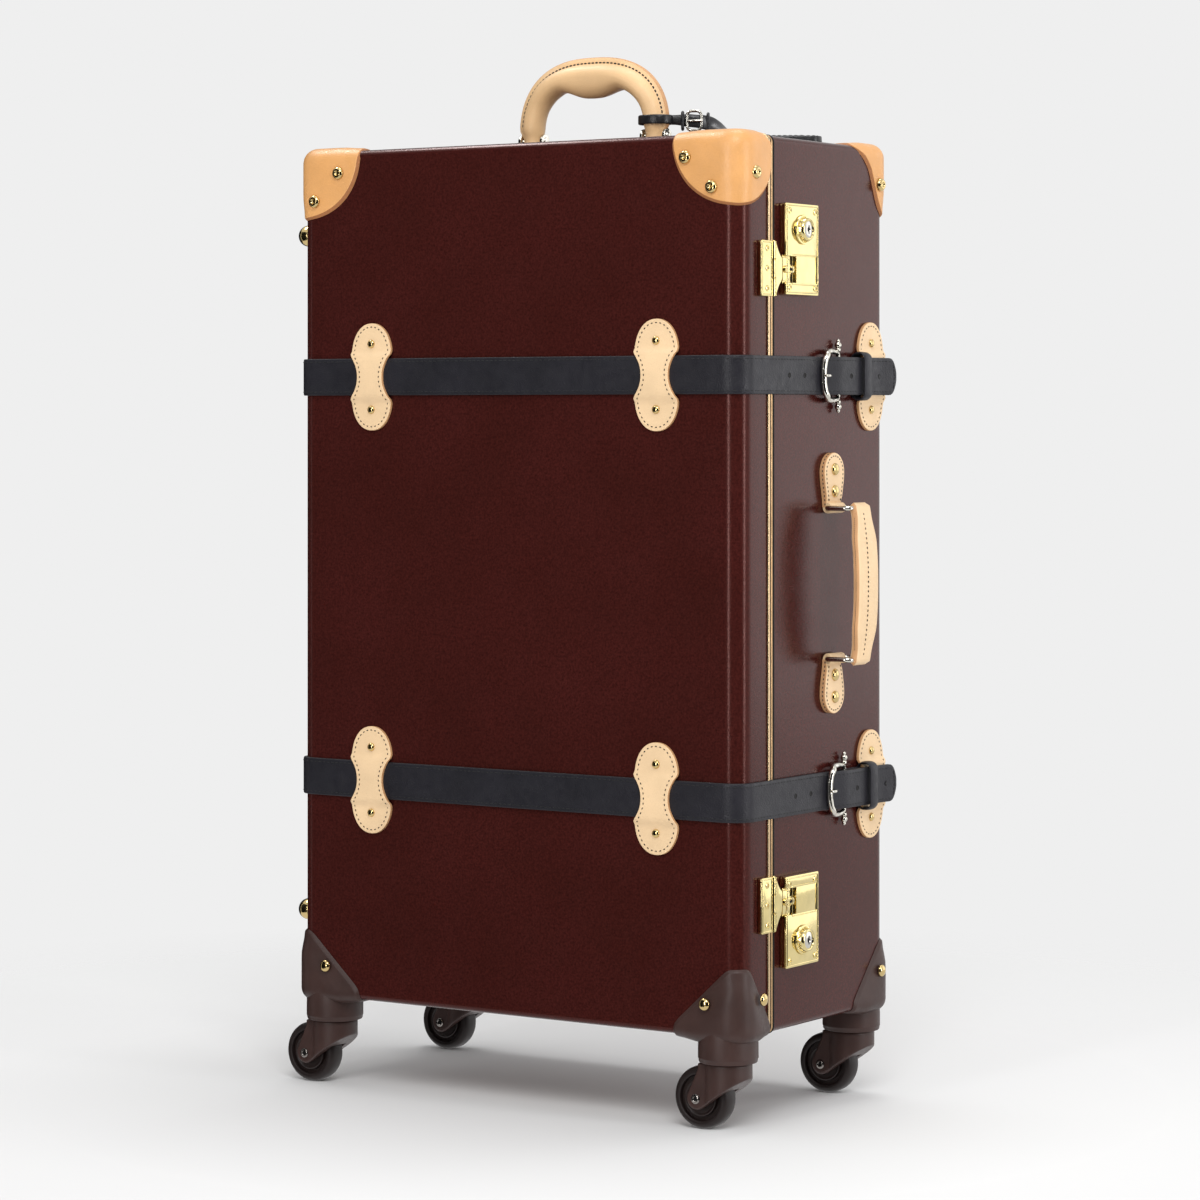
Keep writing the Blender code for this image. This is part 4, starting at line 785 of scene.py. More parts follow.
GUARD_T = 0.0050
COLLAR_TOP = BOTTOM - 0.0053
COLLAR_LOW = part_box("guard_lid_right")[0][2]
low = COLLAR_LOW - COLLAR_TOP
COLLAR = [(0.0234, 0.0130), (0.0242, 0.0080), (0.0247, 0.0030), (0.0249, -0.0020), (0.0249, low + 0.0046),
          (0.0249, low + 0.0038), (0.0245, low + 0.0033), (0.0244, low + 0.0016), (0.0239, low + 0.0004),
          (0.0228, low), (0.0060, low), (0.0056, low + 0.006)]
for side, sx in (("left", -1), ("right", 1)):
    for half, sy, reach_y, dy in (("lid", -1, 0.0455, 0.0265), ("base", 1, 0.058, 0.018)):
        form = Form()
        corner_form(form, guard_reach(0.066, reach_y, 0.0575, 0.009, 0.013), GUARD_T, sx, sy, False,
                    30, 0.0009, 0, 12)
        lathe(form, COLLAR, axes((*from_edge(sx, sy, 0.024, 0.019), COLLAR_TOP), X, Y), 56)
        form.piece(f"guard_{half}_{side}_moulded", [GUARD], half, "guard_plastic", f"guard_{half}_{side}", 40)
        heads = Form()
        out = GAP + GUARD_T - HEAD_SINK
        heads.copy(STUD, axes((*from_edge(sx, sy, 0.032, -out), BOTTOM + 0.028), -sy * X, Z))
        heads.copy(STUD, axes((*from_edge(sx, sy, -out, dy), BOTTOM + 0.031), sx * Y, Z))
        heads.piece(f"guard_rivets_{half}_{side}", RIVET_BRASS, half, "brass_fittings")


# Casters

WHEEL_R = 0.026
TRAIL = 0.022
FORK_TOP = COLLAR_LOW - GAP
ARM_IN = 0.0098
ARM_OUT = 0.0153


def fork_mesh():
    """Moulded fork about its swivel axis: round crown, slanted arms, axle bosses, fused and smoothed."""
    boss = (-TRAIL, WHEEL_R)
    outline = [(-0.0206, FORK_TOP + 0.0005), (-0.0206, FORK_TOP - 0.0050)]
    outline += arc(boss, 0.0092, 158, 302, 16)
    outline += [(0.0206, FORK_TOP - 0.0118), (0.0206, FORK_TOP + 0.0005)]
    across = axes((0, 0, 0), X, Z)
    crown = [(TINY, FORK_TOP), (0.0192, FORK_TOP), (0.0200, FORK_TOP - 0.0008), (0.0200, 0.020),
             (TINY, 0.020)]
    made = loose("fork", lathe(Form(), crown, Matrix(), 56))
    carve(made, loose("side", block(Form(), outline, across, -0.03, 0.03, 0.0002)), "INTERSECT")
    cheek = [*outline[:-2], (0.0115, 0.0382), (0.0115, FORK_TOP)]
    arms = loose("arms", block(Form(), [(x, min(z, FORK_TOP - 0.0004)) for x, z in cheek], across,
                               -ARM_OUT, ARM_OUT, 0.0016))
    carve(made, arms, "UNION")
    room = lathe(Form(), [(TINY, -ARM_IN), (0.0277, -ARM_IN), (0.0277, ARM_IN), (TINY, ARM_IN)],
                 axes((-TRAIL, 0, WHEEL_R), X, Z), 72)
    carve(made, loose("room", room), "DIFFERENCE")
    fuse = made.modifiers.new("fuse", "REMESH")
    fuse.mode, fuse.voxel_size, fuse.use_smooth_shade = "VOXEL", 0.0007, True
    soft = made.modifiers.new("soft", "SMOOTH")
    soft.iterations, soft.factor = 10, 0.5
    graph = bpy.context.evaluated_depsgraph_get()
    data = bpy.data.meshes.new_from_object(made.evaluated_get(graph))
    bpy.data.objects.remove(made)
    return data


def wheel_form(center):
    """Tyre with a grooved side, recessed web, hub disc with a raised ring."""
    form = Form()
    across = axes(center, X, Z)
    half = 0.0090
    tyre = [(0.0190, 0.0050), (0.0190, half - 0.0012), (0.0194, half - 0.0004), (0.0202, half),
            (0.0218, half), (0.0236, half - 0.0006), (0.0250, half - 0.0022), (0.0258, half - 0.0046),
            (WHEEL_R, 0.0)]
    hub = [(0.0032, half - 0.0012), (0.0128, half - 0.0012), (0.0136, half - 0.0006), (0.0143, half - 0.0003),
           (0.0150, half - 0.0006), (0.0153, half - 0.0014), (0.0155, 0.0050), (0.0190, 0.0050)]
    for profile, mat in ((tyre, 0), (hub, 1)):
        for sign in (1, -1):
            lathe(form, [(r, sign * h) for r, h in profile], across, 72, mat)
    bore = [(0.0032, half - 0.0012), (0.0032, -half + 0.0012)]
    return lathe(form, bore, across, 72, 1)


fork_data = fork_mesh()
for corner in ("front_left", "front_right", "rear_left", "rear_right"):
    hx, hy, _ = center_of(f"caster_{corner}_wheel")
    data = fork_data.copy()
    data.transform(Matrix.Translation((hx + TRAIL, hy, 0)))
    settle(f"fork_{corner}", data, GUARD, f"caster_{corner}", f"caster_{corner}_fork")
    wheel_form((hx, hy, WHEEL_R)).piece(f"wheel_{corner}_tyre", [RUBBER, HUB], f"wheel_{corner}",
                                        "wheel_rubber", f"caster_{corner}_wheel", 32)
    axle = Form()
    head = [(TINY, 0.0002), (0.0014, 0.0002), (0.0017, 0.0010), (0.0022, 0.0014), (0.0032, 0.0013),
            (0.0040, 0.0007), (0.0042, -0.0006)]
    for sign in (1, -1):
        plane = axes((hx, hy - sign * ARM_OUT, WHEEL_R), sign * X, Z)
        lathe(axle, head[2:], plane, 32, 0)
        # The sunk middle of each axle head is near-black: painted shade in its recess.
        lathe(axle, head[:3], plane, 32, 1)
    axle.piece(f"axle_{corner}", [STEEL, RECESS_SHADE], f"caster_{corner}", "nickel_fittings")


# Dome feet and hinges on the left side

NOSE = [(max(0.0093 * math.sin(t), TINY), 0.0086 + 0.0090 * math.cos(t)) for t in sweep(QUARTER, 10)]
NOSE += [(0.0093, 0.0042), (0.0088, 0.0034), (0.0092, 0.0028), (0.0106, 0.0024), (0.0109, 0.0016),
         (0.0109, 0.0003)]
for half in ("base", "lid"):
    for level in ("upper", "lower"):
        _, y, z = center_of(f"foot_{half}_{level}")
        form = lathe(Form(), NOSE, left_side(y, z), 40)
        form.piece(f"dome_{half}_{level}", RIVET_BRASS, half, "brass_fittings", f"foot_{half}_{level}", 50)


def knuckle(low, high, radius, end, soft):
    """Profile of a hinge's barrel with softened ends."""
    return [(TINY, low), (end, low), (radius, low + soft), (radius, high - soft), (end, high), (TINY, high)]


HINGE_AXIS = (X0 - 0.005, SEAM)
for level in ("upper", "lower"):
    low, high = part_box(f"hinge_{level}_base_leaf")
    z, height = center_of(f"hinge_{level}_base_leaf")[2], high[2] - low[2]
    third = height / 3
    plane = left_side(SEAM, z)
    spans = {"base": ((-height / 2, -third / 2), (third / 2, height / 2)), "lid": ((-third / 2, third / 2),)}
    for half, way in (("base", 1), ("lid", -1)):
        form = Form()
        outline = [(u - way * 0.0125, v) for u, v in rounded_rect(0.0185, height, 0.0030, 5)]
        block(form, outline, plane, 0.0003, 0.0022, 0.0006)
        for a, b in spans[half]:
            a, b = a + 0.0003, b - 0.0003
            lathe(form, knuckle(a, b, 0.0035, 0.0028, 0.0006), axes((*HINGE_AXIS, z), X, Y), 28)
            inner, outer = 0.0002, -way * 0.0065
            web = [(inner, a + 0.001), (outer, a + 0.001), (outer, b - 0.001), (inner, b - 0.001)]
            block(form, web, plane, 0.0006, 0.0030, 0.0004)
        for v in (-height * 0.36, 0.0, height * 0.36):
            form.copy(SCREW, at_plane(plane, -way * 0.0140, v, 0.0020))
        form.piece(f"hinge_{level}_{half}", BRASS, half, "brass_fittings", f"hinge_{level}_{half}_leaf", 35)


# Straps

STRAP_W, STRAP_T = 0.032, 0.003
EYE_R = 0.0037
RISE = 0.0080
TIP_Y = 0.1125
SEAM_MARGIN, SEAM_PITCH = 0.0029, 0.0046
HEELS = {"upper": 0.030, "lower": 0.040}


def rise(y, heel):
    """Height of a billet over the side: it climbs to the buckle, and again at its tip."""
    climb = (RISE - GAP) * ease(y, heel - 0.034, heel - 0.004)
    return GAP + climb + 0.0030 * ease(y, TIP_Y - 0.026, TIP_Y)


def bend(sx, sy, offset, start, end):
    center = ((X1 - CORNER_R) if sx > 0 else (X0 + CORNER_R), sy * (BACK - CORNER_R))
    return arc(center, CORNER_R + offset, start, end, 12)


def refine(line, longest, pieces):
    """Plan line with its long stretches cut into pieces(length)."""
    fine = []
    for a, b in zip(line, line[1:]):
        fine.append(a)
        gap = math.hypot(b[0] - a[0], b[1] - a[1])
        if gap > longest:
            n = pieces(gap)
            fine += [(a[0] + (b[0] - a[0]) * k / n, a[1] + (b[1] - a[1]) * k / n) for k in range(1, n)]
    return fine + [line[-1]]


def band(form, line, width, thick, z, mat=0, edge=1, taper=None):
    """Leather band standing on edge along a plan line: rounded rims, faint crown."""
    half, r = width / 2, 0.0009
    rows = []
    count = len(line)
    for i, (x, y) in enumerate(line):
        (ax, ay), (bx, by) = line[max(i - 1, 0)], line[min(i + 1, count - 1)]
        way = Vector((bx - ax, by - ay)).normalized()
        out = Vector((way.y, -way.x, 0))
        h = half * (taper(i) if taper else 1)
        section = [(-h, 0), (-h, thick - r)]
        section += [(-h + r - r * math.cos(t), thick - r + r * math.sin(t)) for t in (0.5, 1.0, QUARTER)]
        section += [(v * h, thick + 0.0002) for v in (-0.84, -0.80, -0.4, 0, 0.4, 0.80, 0.84)]
        section += [(h - r + r * math.cos(t), thick - r + r * math.sin(t)) for t in (QUARTER, 1.0, 0.5)]
        section += [(h, thick - r), (h, 0)]
        rows.append([Vector((x, y, z + a)) + out * b for a, b in section])
    start = len(form.faces)
    form.skin(rows, ends=(True, True), mat=mat)
    span = len(rows[0])
    for index in range(start, len(form.faces) - 2):
        k = (index - start) % span
        if k < 3 or k > span - 5:
            form.mats[index] = edge


def bar_between(form, line, other, low, high):
    """Bar between two plan lines, from one height to another."""
    form.skin([[(x, y, low), (x, y, high), (u, v, high), (u, v, low)] for (x, y), (u, v) in zip(line, other)],
              ends=(True, True))


def strap_seams(form, line, z):
    """Two rows of stitches beside a band's rims."""
    for sign in (1, -1):
        for spot, way in even(line, SEAM_PITCH, False):
            along, out = Vector((way.x, way.y, 0)), Vector((way.y, -way.x, 0))
            at = Vector((spot.x, spot.y, z + sign * (STRAP_W / 2 - SEAM_MARGIN))) + out * (STRAP_T + 0.0001)
            form.copy(STRAND, basis(at, along, out.cross(along), out))


def tip_shape(left):
    """Width share near the strap's broad, rounded end."""
    near = 1 - min(left / 0.0095, 1)
    return max((1 - near ** 2.4) ** 0.55, 0.02)


HOLE = [(TINY, 0.00005), (0.0015, 0.00005), (0.0017, 0.0002), (0.0020, 0.0002), (0.0023, 0.0)]
for level, heel in HEELS.items():
    z = center_of(f"strap_{level}_billet")[2]
    line = [(X0 - GAP, SEAM - 0.001), (X0 - GAP, -0.088)] + bend(-1, -1, GAP, 180, 270)
    line += bend(1, -1, GAP, 270, 360)
    stops = [-0.098 + 0.005 * i for i in range(int((TIP_Y - 0.009 + 0.098) / 0.005))]
    stops += [TIP_Y - d for d in (0.0090, 0.0070, 0.0052, 0.0036, 0.0024, 0.0014, 0.0007, 0.0002, 0.0)]
    line += [(X1 + rise(y, heel), y) for y in stops]
    fine = refine(line, 0.05, lambda gap: 24)
    reach = [0.0]
    for a, b in zip(reversed(fine[1:]), reversed(fine[:-1])):
        reach.append(reach[-1] + math.hypot(b[0] - a[0], b[1] - a[1]))
    reach = reach[::-1]
    form = Form()
    band(form, fine, STRAP_W, STRAP_T, z, taper=lambda i: tip_shape(reach[i] + 0.0002))
    form.piece(f"strap_{level}_long", [NAVY, NAVY_EDGE], "lid", "strap_leather", f"strap_{level}_billet", 45)
    sewing = Form()
    strap_seams(sewing, [p for p, r in zip(fine, reach) if r > 0.0085], z)
    for k in range(1, 7):
        v = (STRAP_W / 2 - 0.0040) * (1 - 2 * k / 7)
        y = TIP_Y - 0.0034 - 0.0035 * (v / (STRAP_W / 2)) ** 2
        out = rise(y, heel) + STRAP_T + 0.0002
        sewing.copy(STRAND, axes((X1 + out, y, z + v), Vector((0, -0.3 * v / STRAP_W, 1)), -Y))
    sewing.piece(f"strap_{level}_long_seams", STRAP_THREAD, "lid", "strap_leather")
    # The punched holes are flat near-black discs: painted shade standing in for the holes' depth.
    holes = Form()
    for y in (heel - 0.079, heel - 0.054, heel + 0.0105, heel + 0.058):
        out = rise(y, heel) + STRAP_T + 0.0002
        lathe(holes, HOLE, axes((X1 + out, y, z), Y, Z), 20)
    holes.piece(f"strap_{level}_holes", RECESS_SHADE, "lid", "strap_leather")

    line = [(X1 + GAP, heel + 0.006), (X1 + GAP, 0.10)] + bend(1, 1, GAP, 0, 90) + bend(-1, 1, GAP, 90, 180)
    line += [(X0 - GAP, 0.09), (X0 - GAP, SEAM + 0.001)]
    fine = refine(line, 0.02, lambda gap: int(gap / 0.018))
    form = Form()
    band(form, fine, STRAP_W, STRAP_T, z)
    bar = (X1 + GAP + EYE_R, heel)
    ring, bore = arc(bar, EYE_R, 45, 315, 20), arc(bar, 0.0021, 45, 315, 20)
    tail = [(bar[0] + EYE_R * 0.7071, heel + EYE_R * 0.7071), (X1 + 0.0052, heel + 0.0065),
            (X1 + 0.0036, heel + 0.013)]
    foot = [(X1 + GAP, heel - EYE_R), (X1 + GAP, heel + 0.007)]
    for a, b in ((-STRAP_W / 2, -0.0026), (0.0026, STRAP_W / 2)):
        bar_between(form, ring, bore, z + a, z + b)
        bar_between(form, tail, [(x - 0.0016, y - 0.0004) for x, y in tail], z + a, z + b)
        bar_between(form, foot, [(x + 0.0016, y) for x, y in foot], z + a, z + b)
    form.piece(f"strap_{level}_short", [NAVY, NAVY_EDGE], "base", "strap_leather", f"strap_{level}_chape", 45)
    sewing = Form()
    strap_seams(sewing, [p for p in fine if p[1] > heel + 0.014 or p[0] < X1 - 0.01], z)
    sewing.piece(f"strap_{level}_short_seams", STRAP_THREAD, "base", "strap_leather")
    loop = Form()
    ring = [(u + (0.0025 + 0.0132) / 2, v) for u, v in rounded_rect(0.0107, 0.0365, 0.0042, 8)]
    rows = []
    for t in sweep(FULL, 12):
        y = heel + 0.033 + 0.0062 * math.copysign(abs(math.sin(t)) ** 0.6, math.sin(t))
        rows.append([(X1 + u, y, z + v) for u, v in inset(ring, -0.0013 - 0.0013 * math.cos(t))])
    loop.skin(rows)
    loop.piece(f"strap_{level}_loop", [NAVY], "base", "strap_leather", smooth=60)


# Buckles

for level, heel in HEELS.items():
    z = center_of(f"strap_{level}_billet")[2]
    pin = Vector((X1 + GAP + EYE_R, heel, z))
    long = 0.0285
    ahead = heel - long
    lift = rise(ahead, heel) + STRAP_T + 0.0027
    half = STRAP_W / 2 + 0.0036
    route = [(0.0, -0.0030), (0.0006, -0.0012), (0.0030, -0.0002), (0.0070, 0.0006), (0.0115, 0.0010),
             (0.0165, 0.0008), (0.0210, -0.0002), (0.0244, -0.0024), (0.0266, -0.0062), (0.0277, -0.0110)]
    route = [(d, half + v) for d, v in route] + [(0.0282, half * 0.30), (long, 0.0)]
    route += [(d, -v) for d, v in reversed(route[:-1])]
    path = []
    for d, v in route:
        over = EYE_R + GAP + (lift - EYE_R - GAP) * d / long
        if abs(v) < STRAP_W / 2 + 0.002 and d > 0.012:
            over = max(over, rise(heel - d, heel) + STRAP_T + 0.0026)
        path.append((X1 + over, heel - d, z + v))
    sizes = [0.0018 + 0.0004 * ease(d, 0, 0.008) + 0.0005 * ease(d, 0.010, 0.022) for d, v in route]
    fine = []
    for a, b in zip(sizes, sizes[1:]):
        fine += [a + (b - a) * j / 3 for j in range(3)]
    form = Form()
    tube(form, smooth_line(path, 3), fine + [sizes[-1]], 16)
    tube(form, [pin - Z * (half - 0.002), pin + Z * (half - 0.002)], 0.0018, 16)
    for sign in (1, -1):
        beads = [(0.0015, -0.0030), (0.0015, 0.0002)]
        for at, r in ((0.0024, 0.0024), (0.0064, 0.0030), (0.0099, 0.0017)):
            beads += [(max(r * math.sin(t), 0.0009), at - r * math.cos(t)) for t in sweep(math.pi, 8, 1)[:-1]]
        lathe(form, beads + [(TINY, beads[-1][1] + 0.0002)], axes(pin + Z * sign * half, X, sign * Y), 20)
    form.piece(f"buckle_{level}_nickel", NICKEL, f"buckle_{level}", "nickel_fittings",
               f"buckle_{level}_frame", 60)
    form = Form()
    ring = [(0.0021, 0.0019), (0.0028, 0.0020), (0.0035, 0.0014), (0.0036, 0.0), (0.0035, -0.0014),
            (0.0028, -0.0020), (0.0021, -0.0019)]
    lathe(form, ring, axes(pin, X, Y), 24)
    over = X1 + (lift + 0.0027 + 0.0013)
    inside = X1 + (rise(ahead + 0.0130, heel) + STRAP_T * 0.4)
    points = [(inside, 0.0130), (inside + 0.0012, 0.0085), (over + 0.0002, 0.0032), (over + 0.0002, 0.0),
              (over - 0.0006, -0.0026)]
    points = [pin + Vector((0.0030, -0.0006, 0))] + [Vector((x, ahead + d, z)) for x, d in points]
    path = smooth_line(points, 5)
    count = len(path)
    tube(form, path, [0.0016 - 0.0004 * i / count for i in range(count - 2)] + [0.0010, 0.0004], 14)
    form.piece(f"prong_{level}_nickel", NICKEL, f"prong_{level}", "nickel_fittings", f"prong_{level}", 60)


# Leather keepers

def keeper_outline(tip=0.0465, lobe=0.0213, waist=0.0135, shoulder=0.0195, steps=12):
    """Butterfly: round-pointed lobes that meet a hollow waist at small shoulders."""
    quarter = []
    for k in range(steps):
        v = shoulder * k / steps
        quarter.append((waist + (lobe - waist) * (1 - math.cos(QUARTER * (v / shoulder) ** 1.15)), v))
    last = steps + 4
    for k in range(last + 1):
        angle = QUARTER * (k / last)
        u = lobe * math.cos(angle) ** 0.92 if k < last else 0.0
        quarter.append((u, shoulder + (tip - shoulder) * math.sin(angle)))
    right = [(u, -v) for u, v in reversed(quarter[1:])] + quarter
    left = [(-u, v) for u, v in reversed(right[1:-1])]
    return right + left


KEEPER = keeper_outline()
KEEPER_T = 0.0026


def over_strap(v):
    """Height of a keeper over the case where it crosses a strap."""
    return (STRAP_T + 0.0004) * (1 - ease(abs(v), STRAP_W / 2 + 0.0006, STRAP_W / 2 + 0.0075))


def keeper(name, plane, body, hides=()):
    """Keeper laid on the case and over the strap, with its stitches and two rivets."""
    def place(u, v, h):
        return plane @ Vector((u, v, GAP + h + over_strap(v)))

    form = Form()
    patch(form, KEEPER, place, KEEPER_T, 0.0008, 16)
    form.piece(name, [TAN, TAN_EDGE], body, "tan_leather", hides, 40)
    trim = Form()
    sew(trim, inset(KEEPER, 0.0033), place, DOT, 0, pitch=0.0042, height=KEEPER_T)
    for v in (-0.0285, 0.0285):
        trim.copy(RIVET, at_plane(plane, 0, v, GAP + 0.0025 + over_strap(v)), 1)
    trim.piece(f"{name}_trim", [THREAD, RIVET_BRASS], body, "tan_leather")


for level in HEELS:
    z = center_of(f"strap_{level}_billet")[2]
    for side in ("left", "right"):
        x = center_of(f"keeper_{level}_{side}")[0]
        keeper(f"keeper_{level}_{side}_hide", front_side(x, z), "lid", f"keeper_{level}_{side}")
        keeper(f"keeper_{level}_{side}_rear", back_side(x, z), "base")
    keeper(f"keeper_{level}_end", right_side(0.0885, z), "base")


# Locks and hasps

def bent_line(form, line, width, height, place):
    """Small raised bead along a closed 2D line."""
    profile = ((-0.5, 0.0), (-0.25, 0.8), (0.0, 1.0), (0.25, 0.8), (0.5, 0.0))
    return form.skin([[place(u, v, height * h) for u, v in inset(line, width * d)] for d, h in profile])


LOCK_FLOOR = 0.0031
HASP_T, HASP_OUT = 0.0044, 0.0034
for level in ("upper", "lower"):
    low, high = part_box(f"lock_{level}_box")
    _, y, z = center_of(f"lock_{level}_box")
    wide, tall, thick = high[1] - low[1], high[2] - low[2], high[0] - X1
    plane = right_side(y, z)
    _, knob_y, knob_z = center_of(f"lock_{level}_knob")
    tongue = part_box(f"hasp_{level}_tongue")
    tongue_v = center_of(f"hasp_{level}_tongue")[2] - z
    reach = tongue[1][1] - y + 0.0008
    half = 0.0108
    form = Form()
    corner = rounded_rect(wide, tall, 0.0026, 5)
    block(form, corner, plane, GAP, LOCK_FLOOR, 0.0004)
    for a, b in ((tongue_v + half, tall / 2), (-tall / 2, tongue_v - half)):
        slab = [(u, v + (a + b) / 2) for u, v in rounded_rect(wide, b - a, 0.0016, 5)]
        block(form, slab, plane, LOCK_FLOOR - 0.001, thick, 0.0007)
    strip = rounded_rect(wide / 2 - reach, 2 * half + 0.001, 0.0003, 2)
    strip = [(u + (reach + wide / 2) / 2, v + tongue_v) for u, v in strip]
    block(form, strip, plane, LOCK_FLOOR - 0.001, thick - 0.0002, 0.0003)
    panel = rounded_rect(0.040, 2 * half + 0.0032, 0.0012, 4)
    panel = [(u + wide / 2 - 0.0235, v + tongue_v) for u, v in panel]
    bent_line(form, panel, 0.0010, 0.0005, flat(plane, thick))
    bent_line(form, inset(corner, 0.0020), 0.0011, 0.00045, flat(plane, thick))
    for u in (-wide / 2 + 0.0060, wide / 2 - 0.0060):
        for v in (-tall / 2 + 0.0062, tall / 2 - 0.0062):
            form.copy(SCREW, at_plane(plane, u, v, thick - 0.0002))
    form.piece(f"lock_{level}_plate", [BRASS], "base", "brass_fittings", f"lock_{level}_box", 35)

    form = Form()
    face = thick + GAP
    center = right_side(knob_y, knob_z)
    profile = ((0.0124, 0.0), (0.0124, 0.0009), (0.0120, 0.0015), (0.0110, 0.0017), (0.0106, 0.0014),
               (0.0103, 0.0016), (0.0099, 0.0030), (0.0096, 0.0050), (0.0090, 0.0060), (0.0080, 0.0064),
               (0.0074, 0.0062), (0.0071, 0.0055))
    lathe(form, [(r, face + h) for r, h in profile], center, 56)
    barrel = ((0.0071, 0.0055), (0.0066, 0.0059), (0.0024, 0.0060), (0.0020, 0.0052), (TINY, 0.0050))
    lathe(form, [(r, face + h) for r, h in barrel], center, 40, 1)
    # The slot in the knob is filled with near-black: painted shade.
    slot = rounded_rect(0.0016, 0.0074, 0.0006, 3)
    block(form, slot, at_plane(center, 0, 0, face + 0.0053), -0.0004, 0.0008, 0.0001, 2)
    for t in sweep(FULL, 24)[:-1]:
        grip = at_plane(center, 0.0099 * math.cos(t), 0.0099 * math.sin(t), face + 0.0016)
        form.copy(stitch(0.0010, 0.0012, 0.0026), grip @ Matrix.Rotation(t, 4, "Z"), 0)
    form.piece(f"lock_{level}_turn_knob", [BRASS, NICKEL, RECESS_SHADE], f"lock_knob_{level}", "brass_fittings",
               f"lock_{level}_knob", 40)

    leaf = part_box(f"hasp_{level}_leaf")
    axis_y = tongue[0][1] + 0.0022
    hz = center_of(f"hasp_{level}_leaf")[2]
    tall = leaf[1][2] - leaf[0][2]
    plane = right_side(axis_y, hz)
    form = Form()
    span = axis_y - leaf[0][1]
    outline = [(u - span / 2 - 0.0012, v) for u, v in rounded_rect(span - 0.0030, tall, 0.0018, 4)]
    block(form, outline, plane, GAP, HASP_T, 0.0007)
    bent_line(form, inset(outline, 0.0017), 0.0010, 0.0004, flat(plane, HASP_T))
    for v in (-tall * 0.36, 0.0, tall * 0.36):
        form.copy(SCREW, at_plane(plane, -span / 2 - 0.001, v, 0.0042))
    stem = axes((X1 + HASP_OUT, axis_y, hz), X, Y)
    for a, b in ((-tall / 2, -tall / 6 - 0.0003), (tall / 6 + 0.0003, tall / 2)):
        lathe(form, knuckle(a, b, 0.0022, 0.0016, 0.0005), stem, 24)
        tie = [(-0.0034, a + 0.0004), (-0.0034, b - 0.0004), (0.0, b - 0.0004), (0.0, a + 0.0004)]
        block(form, tie, plane, 0.0016, 0.0042, 0.0003)
    form.piece(f"hasp_{level}_plate", [BRASS], "lid", "brass_fittings", f"hasp_{level}_leaf", 35)

    form = Form()
    lathe(form, knuckle(-tall / 6, tall / 6, 0.0022, 0.0016, 0.0005), stem, 24)
    nose, tip, root = 0.0240, 0.0098, tall / 2 - 0.0008
    flank = [(0.0030 + 0.0105 * t, root - (root - tip) * math.sin(QUARTER * t) ** 0.9) for t in sweep(1, 12)]
    upper = [(0.0, tall / 6 - 0.0006), (0.0029, tall / 6 - 0.0006), *flank, (nose - 0.0012, tip),
             (nose, tip - 0.0012), (nose, 0.0042), (0.0300, 0.0040), (0.0308, 0.0030)]
    outline = upper + [(u, -v) for u, v in reversed(upper)]
    block(form, outline[::-1], plane, HASP_OUT - 0.0009, HASP_OUT + 0.0011, 0.0004)
    catch = [(u + 0.0225, v) for u, v in rounded_rect(0.0150, 0.0062, 0.0026, 6)]
    patch(form, catch, flat(plane, HASP_OUT + 0.0010), 0.0016, 0.0007, 4, 0, 0)
    # The slot in the catch is filled with near-black: painted shade.
    slot = [(u + 0.0250, v) for u, v in rounded_rect(0.0062, 0.0024, 0.0011, 5)]
    block(form, slot, plane, HASP_OUT + 0.0020, HASP_OUT + 0.00268, 0.0001, 1)
    form.piece(f"hasp_{level}_flap", [BRASS, RECESS_SHADE], f"hasp_{level}", "brass_fittings",
               f"hasp_{level}_tongue", 35)


# Side handle

WIRE_R = 0.0022
for level, sign in (("upper", 1), ("lower", -1)):
    tab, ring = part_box(f"side_tab_{level}"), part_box(f"side_ring_{level}")
    y = center_of(f"side_tab_{level}")[1]
    ring_x, _, eye_z = center_of(f"side_ring_{level}")
    eye_x = ring[0][0] + WIRE_R
    plane = right_side(y, eye_z)
    far = (tab[1][2] - eye_z) if sign > 0 else (eye_z - tab[0][2])
    lobe, neck, thick = 0.0164, 0.0120, 0.0052
    flank = [(neck, 0.0005)]
    flank += [(neck + (lobe - neck) * ease(t, 0, 1), (far - lobe) * t) for t in sweep(1, 10, 1)]
    outline = flank + arc((0, far - lobe), lobe, 0, 180, 22)[1:] + [(-u, v) for u, v in flank[::-1]]
    outline = [(u, sign * v) for u, v in outline]
    form = Form()
    patch(form, outline,
          lambda u, v, h: plane @ Vector((u, v, GAP + h * (0.62 + 0.38 * ease(abs(v), 0.0, 0.010)))),
          thick, 0.0009, 9)
    wrap = [math.radians(a) for a in range(-90, 270, 12)]
    rows = []
    for v in (-neck, -neck + 0.0006, neck - 0.0006, neck):
        r = 0.0046 if abs(v) < neck else 0.0042
        rows.append([(eye_x + r * math.cos(t), y + v, eye_z + r * math.sin(t)) for t in wrap])
    form.skin(rows, ends=(True, True))
    form.piece(f"side_tab_{level}_hide", [TAN, TAN_EDGE], "base", "tan_leather", f"side_tab_{level}", 42)
    trim = Form()
    sew(trim, inset(outline, 0.0028)[1:-1], flat(plane, GAP), DOT, 0, False, 0.0036, thick)
    for spot, way in even(outline[1:-1], 0.0036, False):
        at = plane @ Vector((spot.x, spot.y, GAP + thick * 0.52))
        along = (plane.to_3x3() @ Vector((way.x, way.y, 0))).normalized()
        outward = along.cross(X) * sign
        trim.copy(DOT, basis(at, along, outward.cross(along), outward), 0)
    for v in (far - 0.0140, far - 0.0325):
        trim.copy(STUD, at_plane(plane, 0, sign * v, GAP + thick - 0.0002), 1)
    trim.piece(f"side_tab_{level}_trim", [THREAD, RIVET_BRASS], "base", "tan_leather")
    form = Form()
    deep, wide = (ring[1][k] - ring[0][k] - 2 * WIRE_R for k in (0, 1))
    route = rounded_rect(deep, wide, 0.0058, 8)
    tube(form, [(ring_x + u, y + v, eye_z) for u, v in route], WIRE_R, 16, True)
    form.piece(f"side_ring_{level}_nickel", NICKEL, f"side_ring_{level}", "nickel_fittings",
               f"side_ring_{level}", 60)

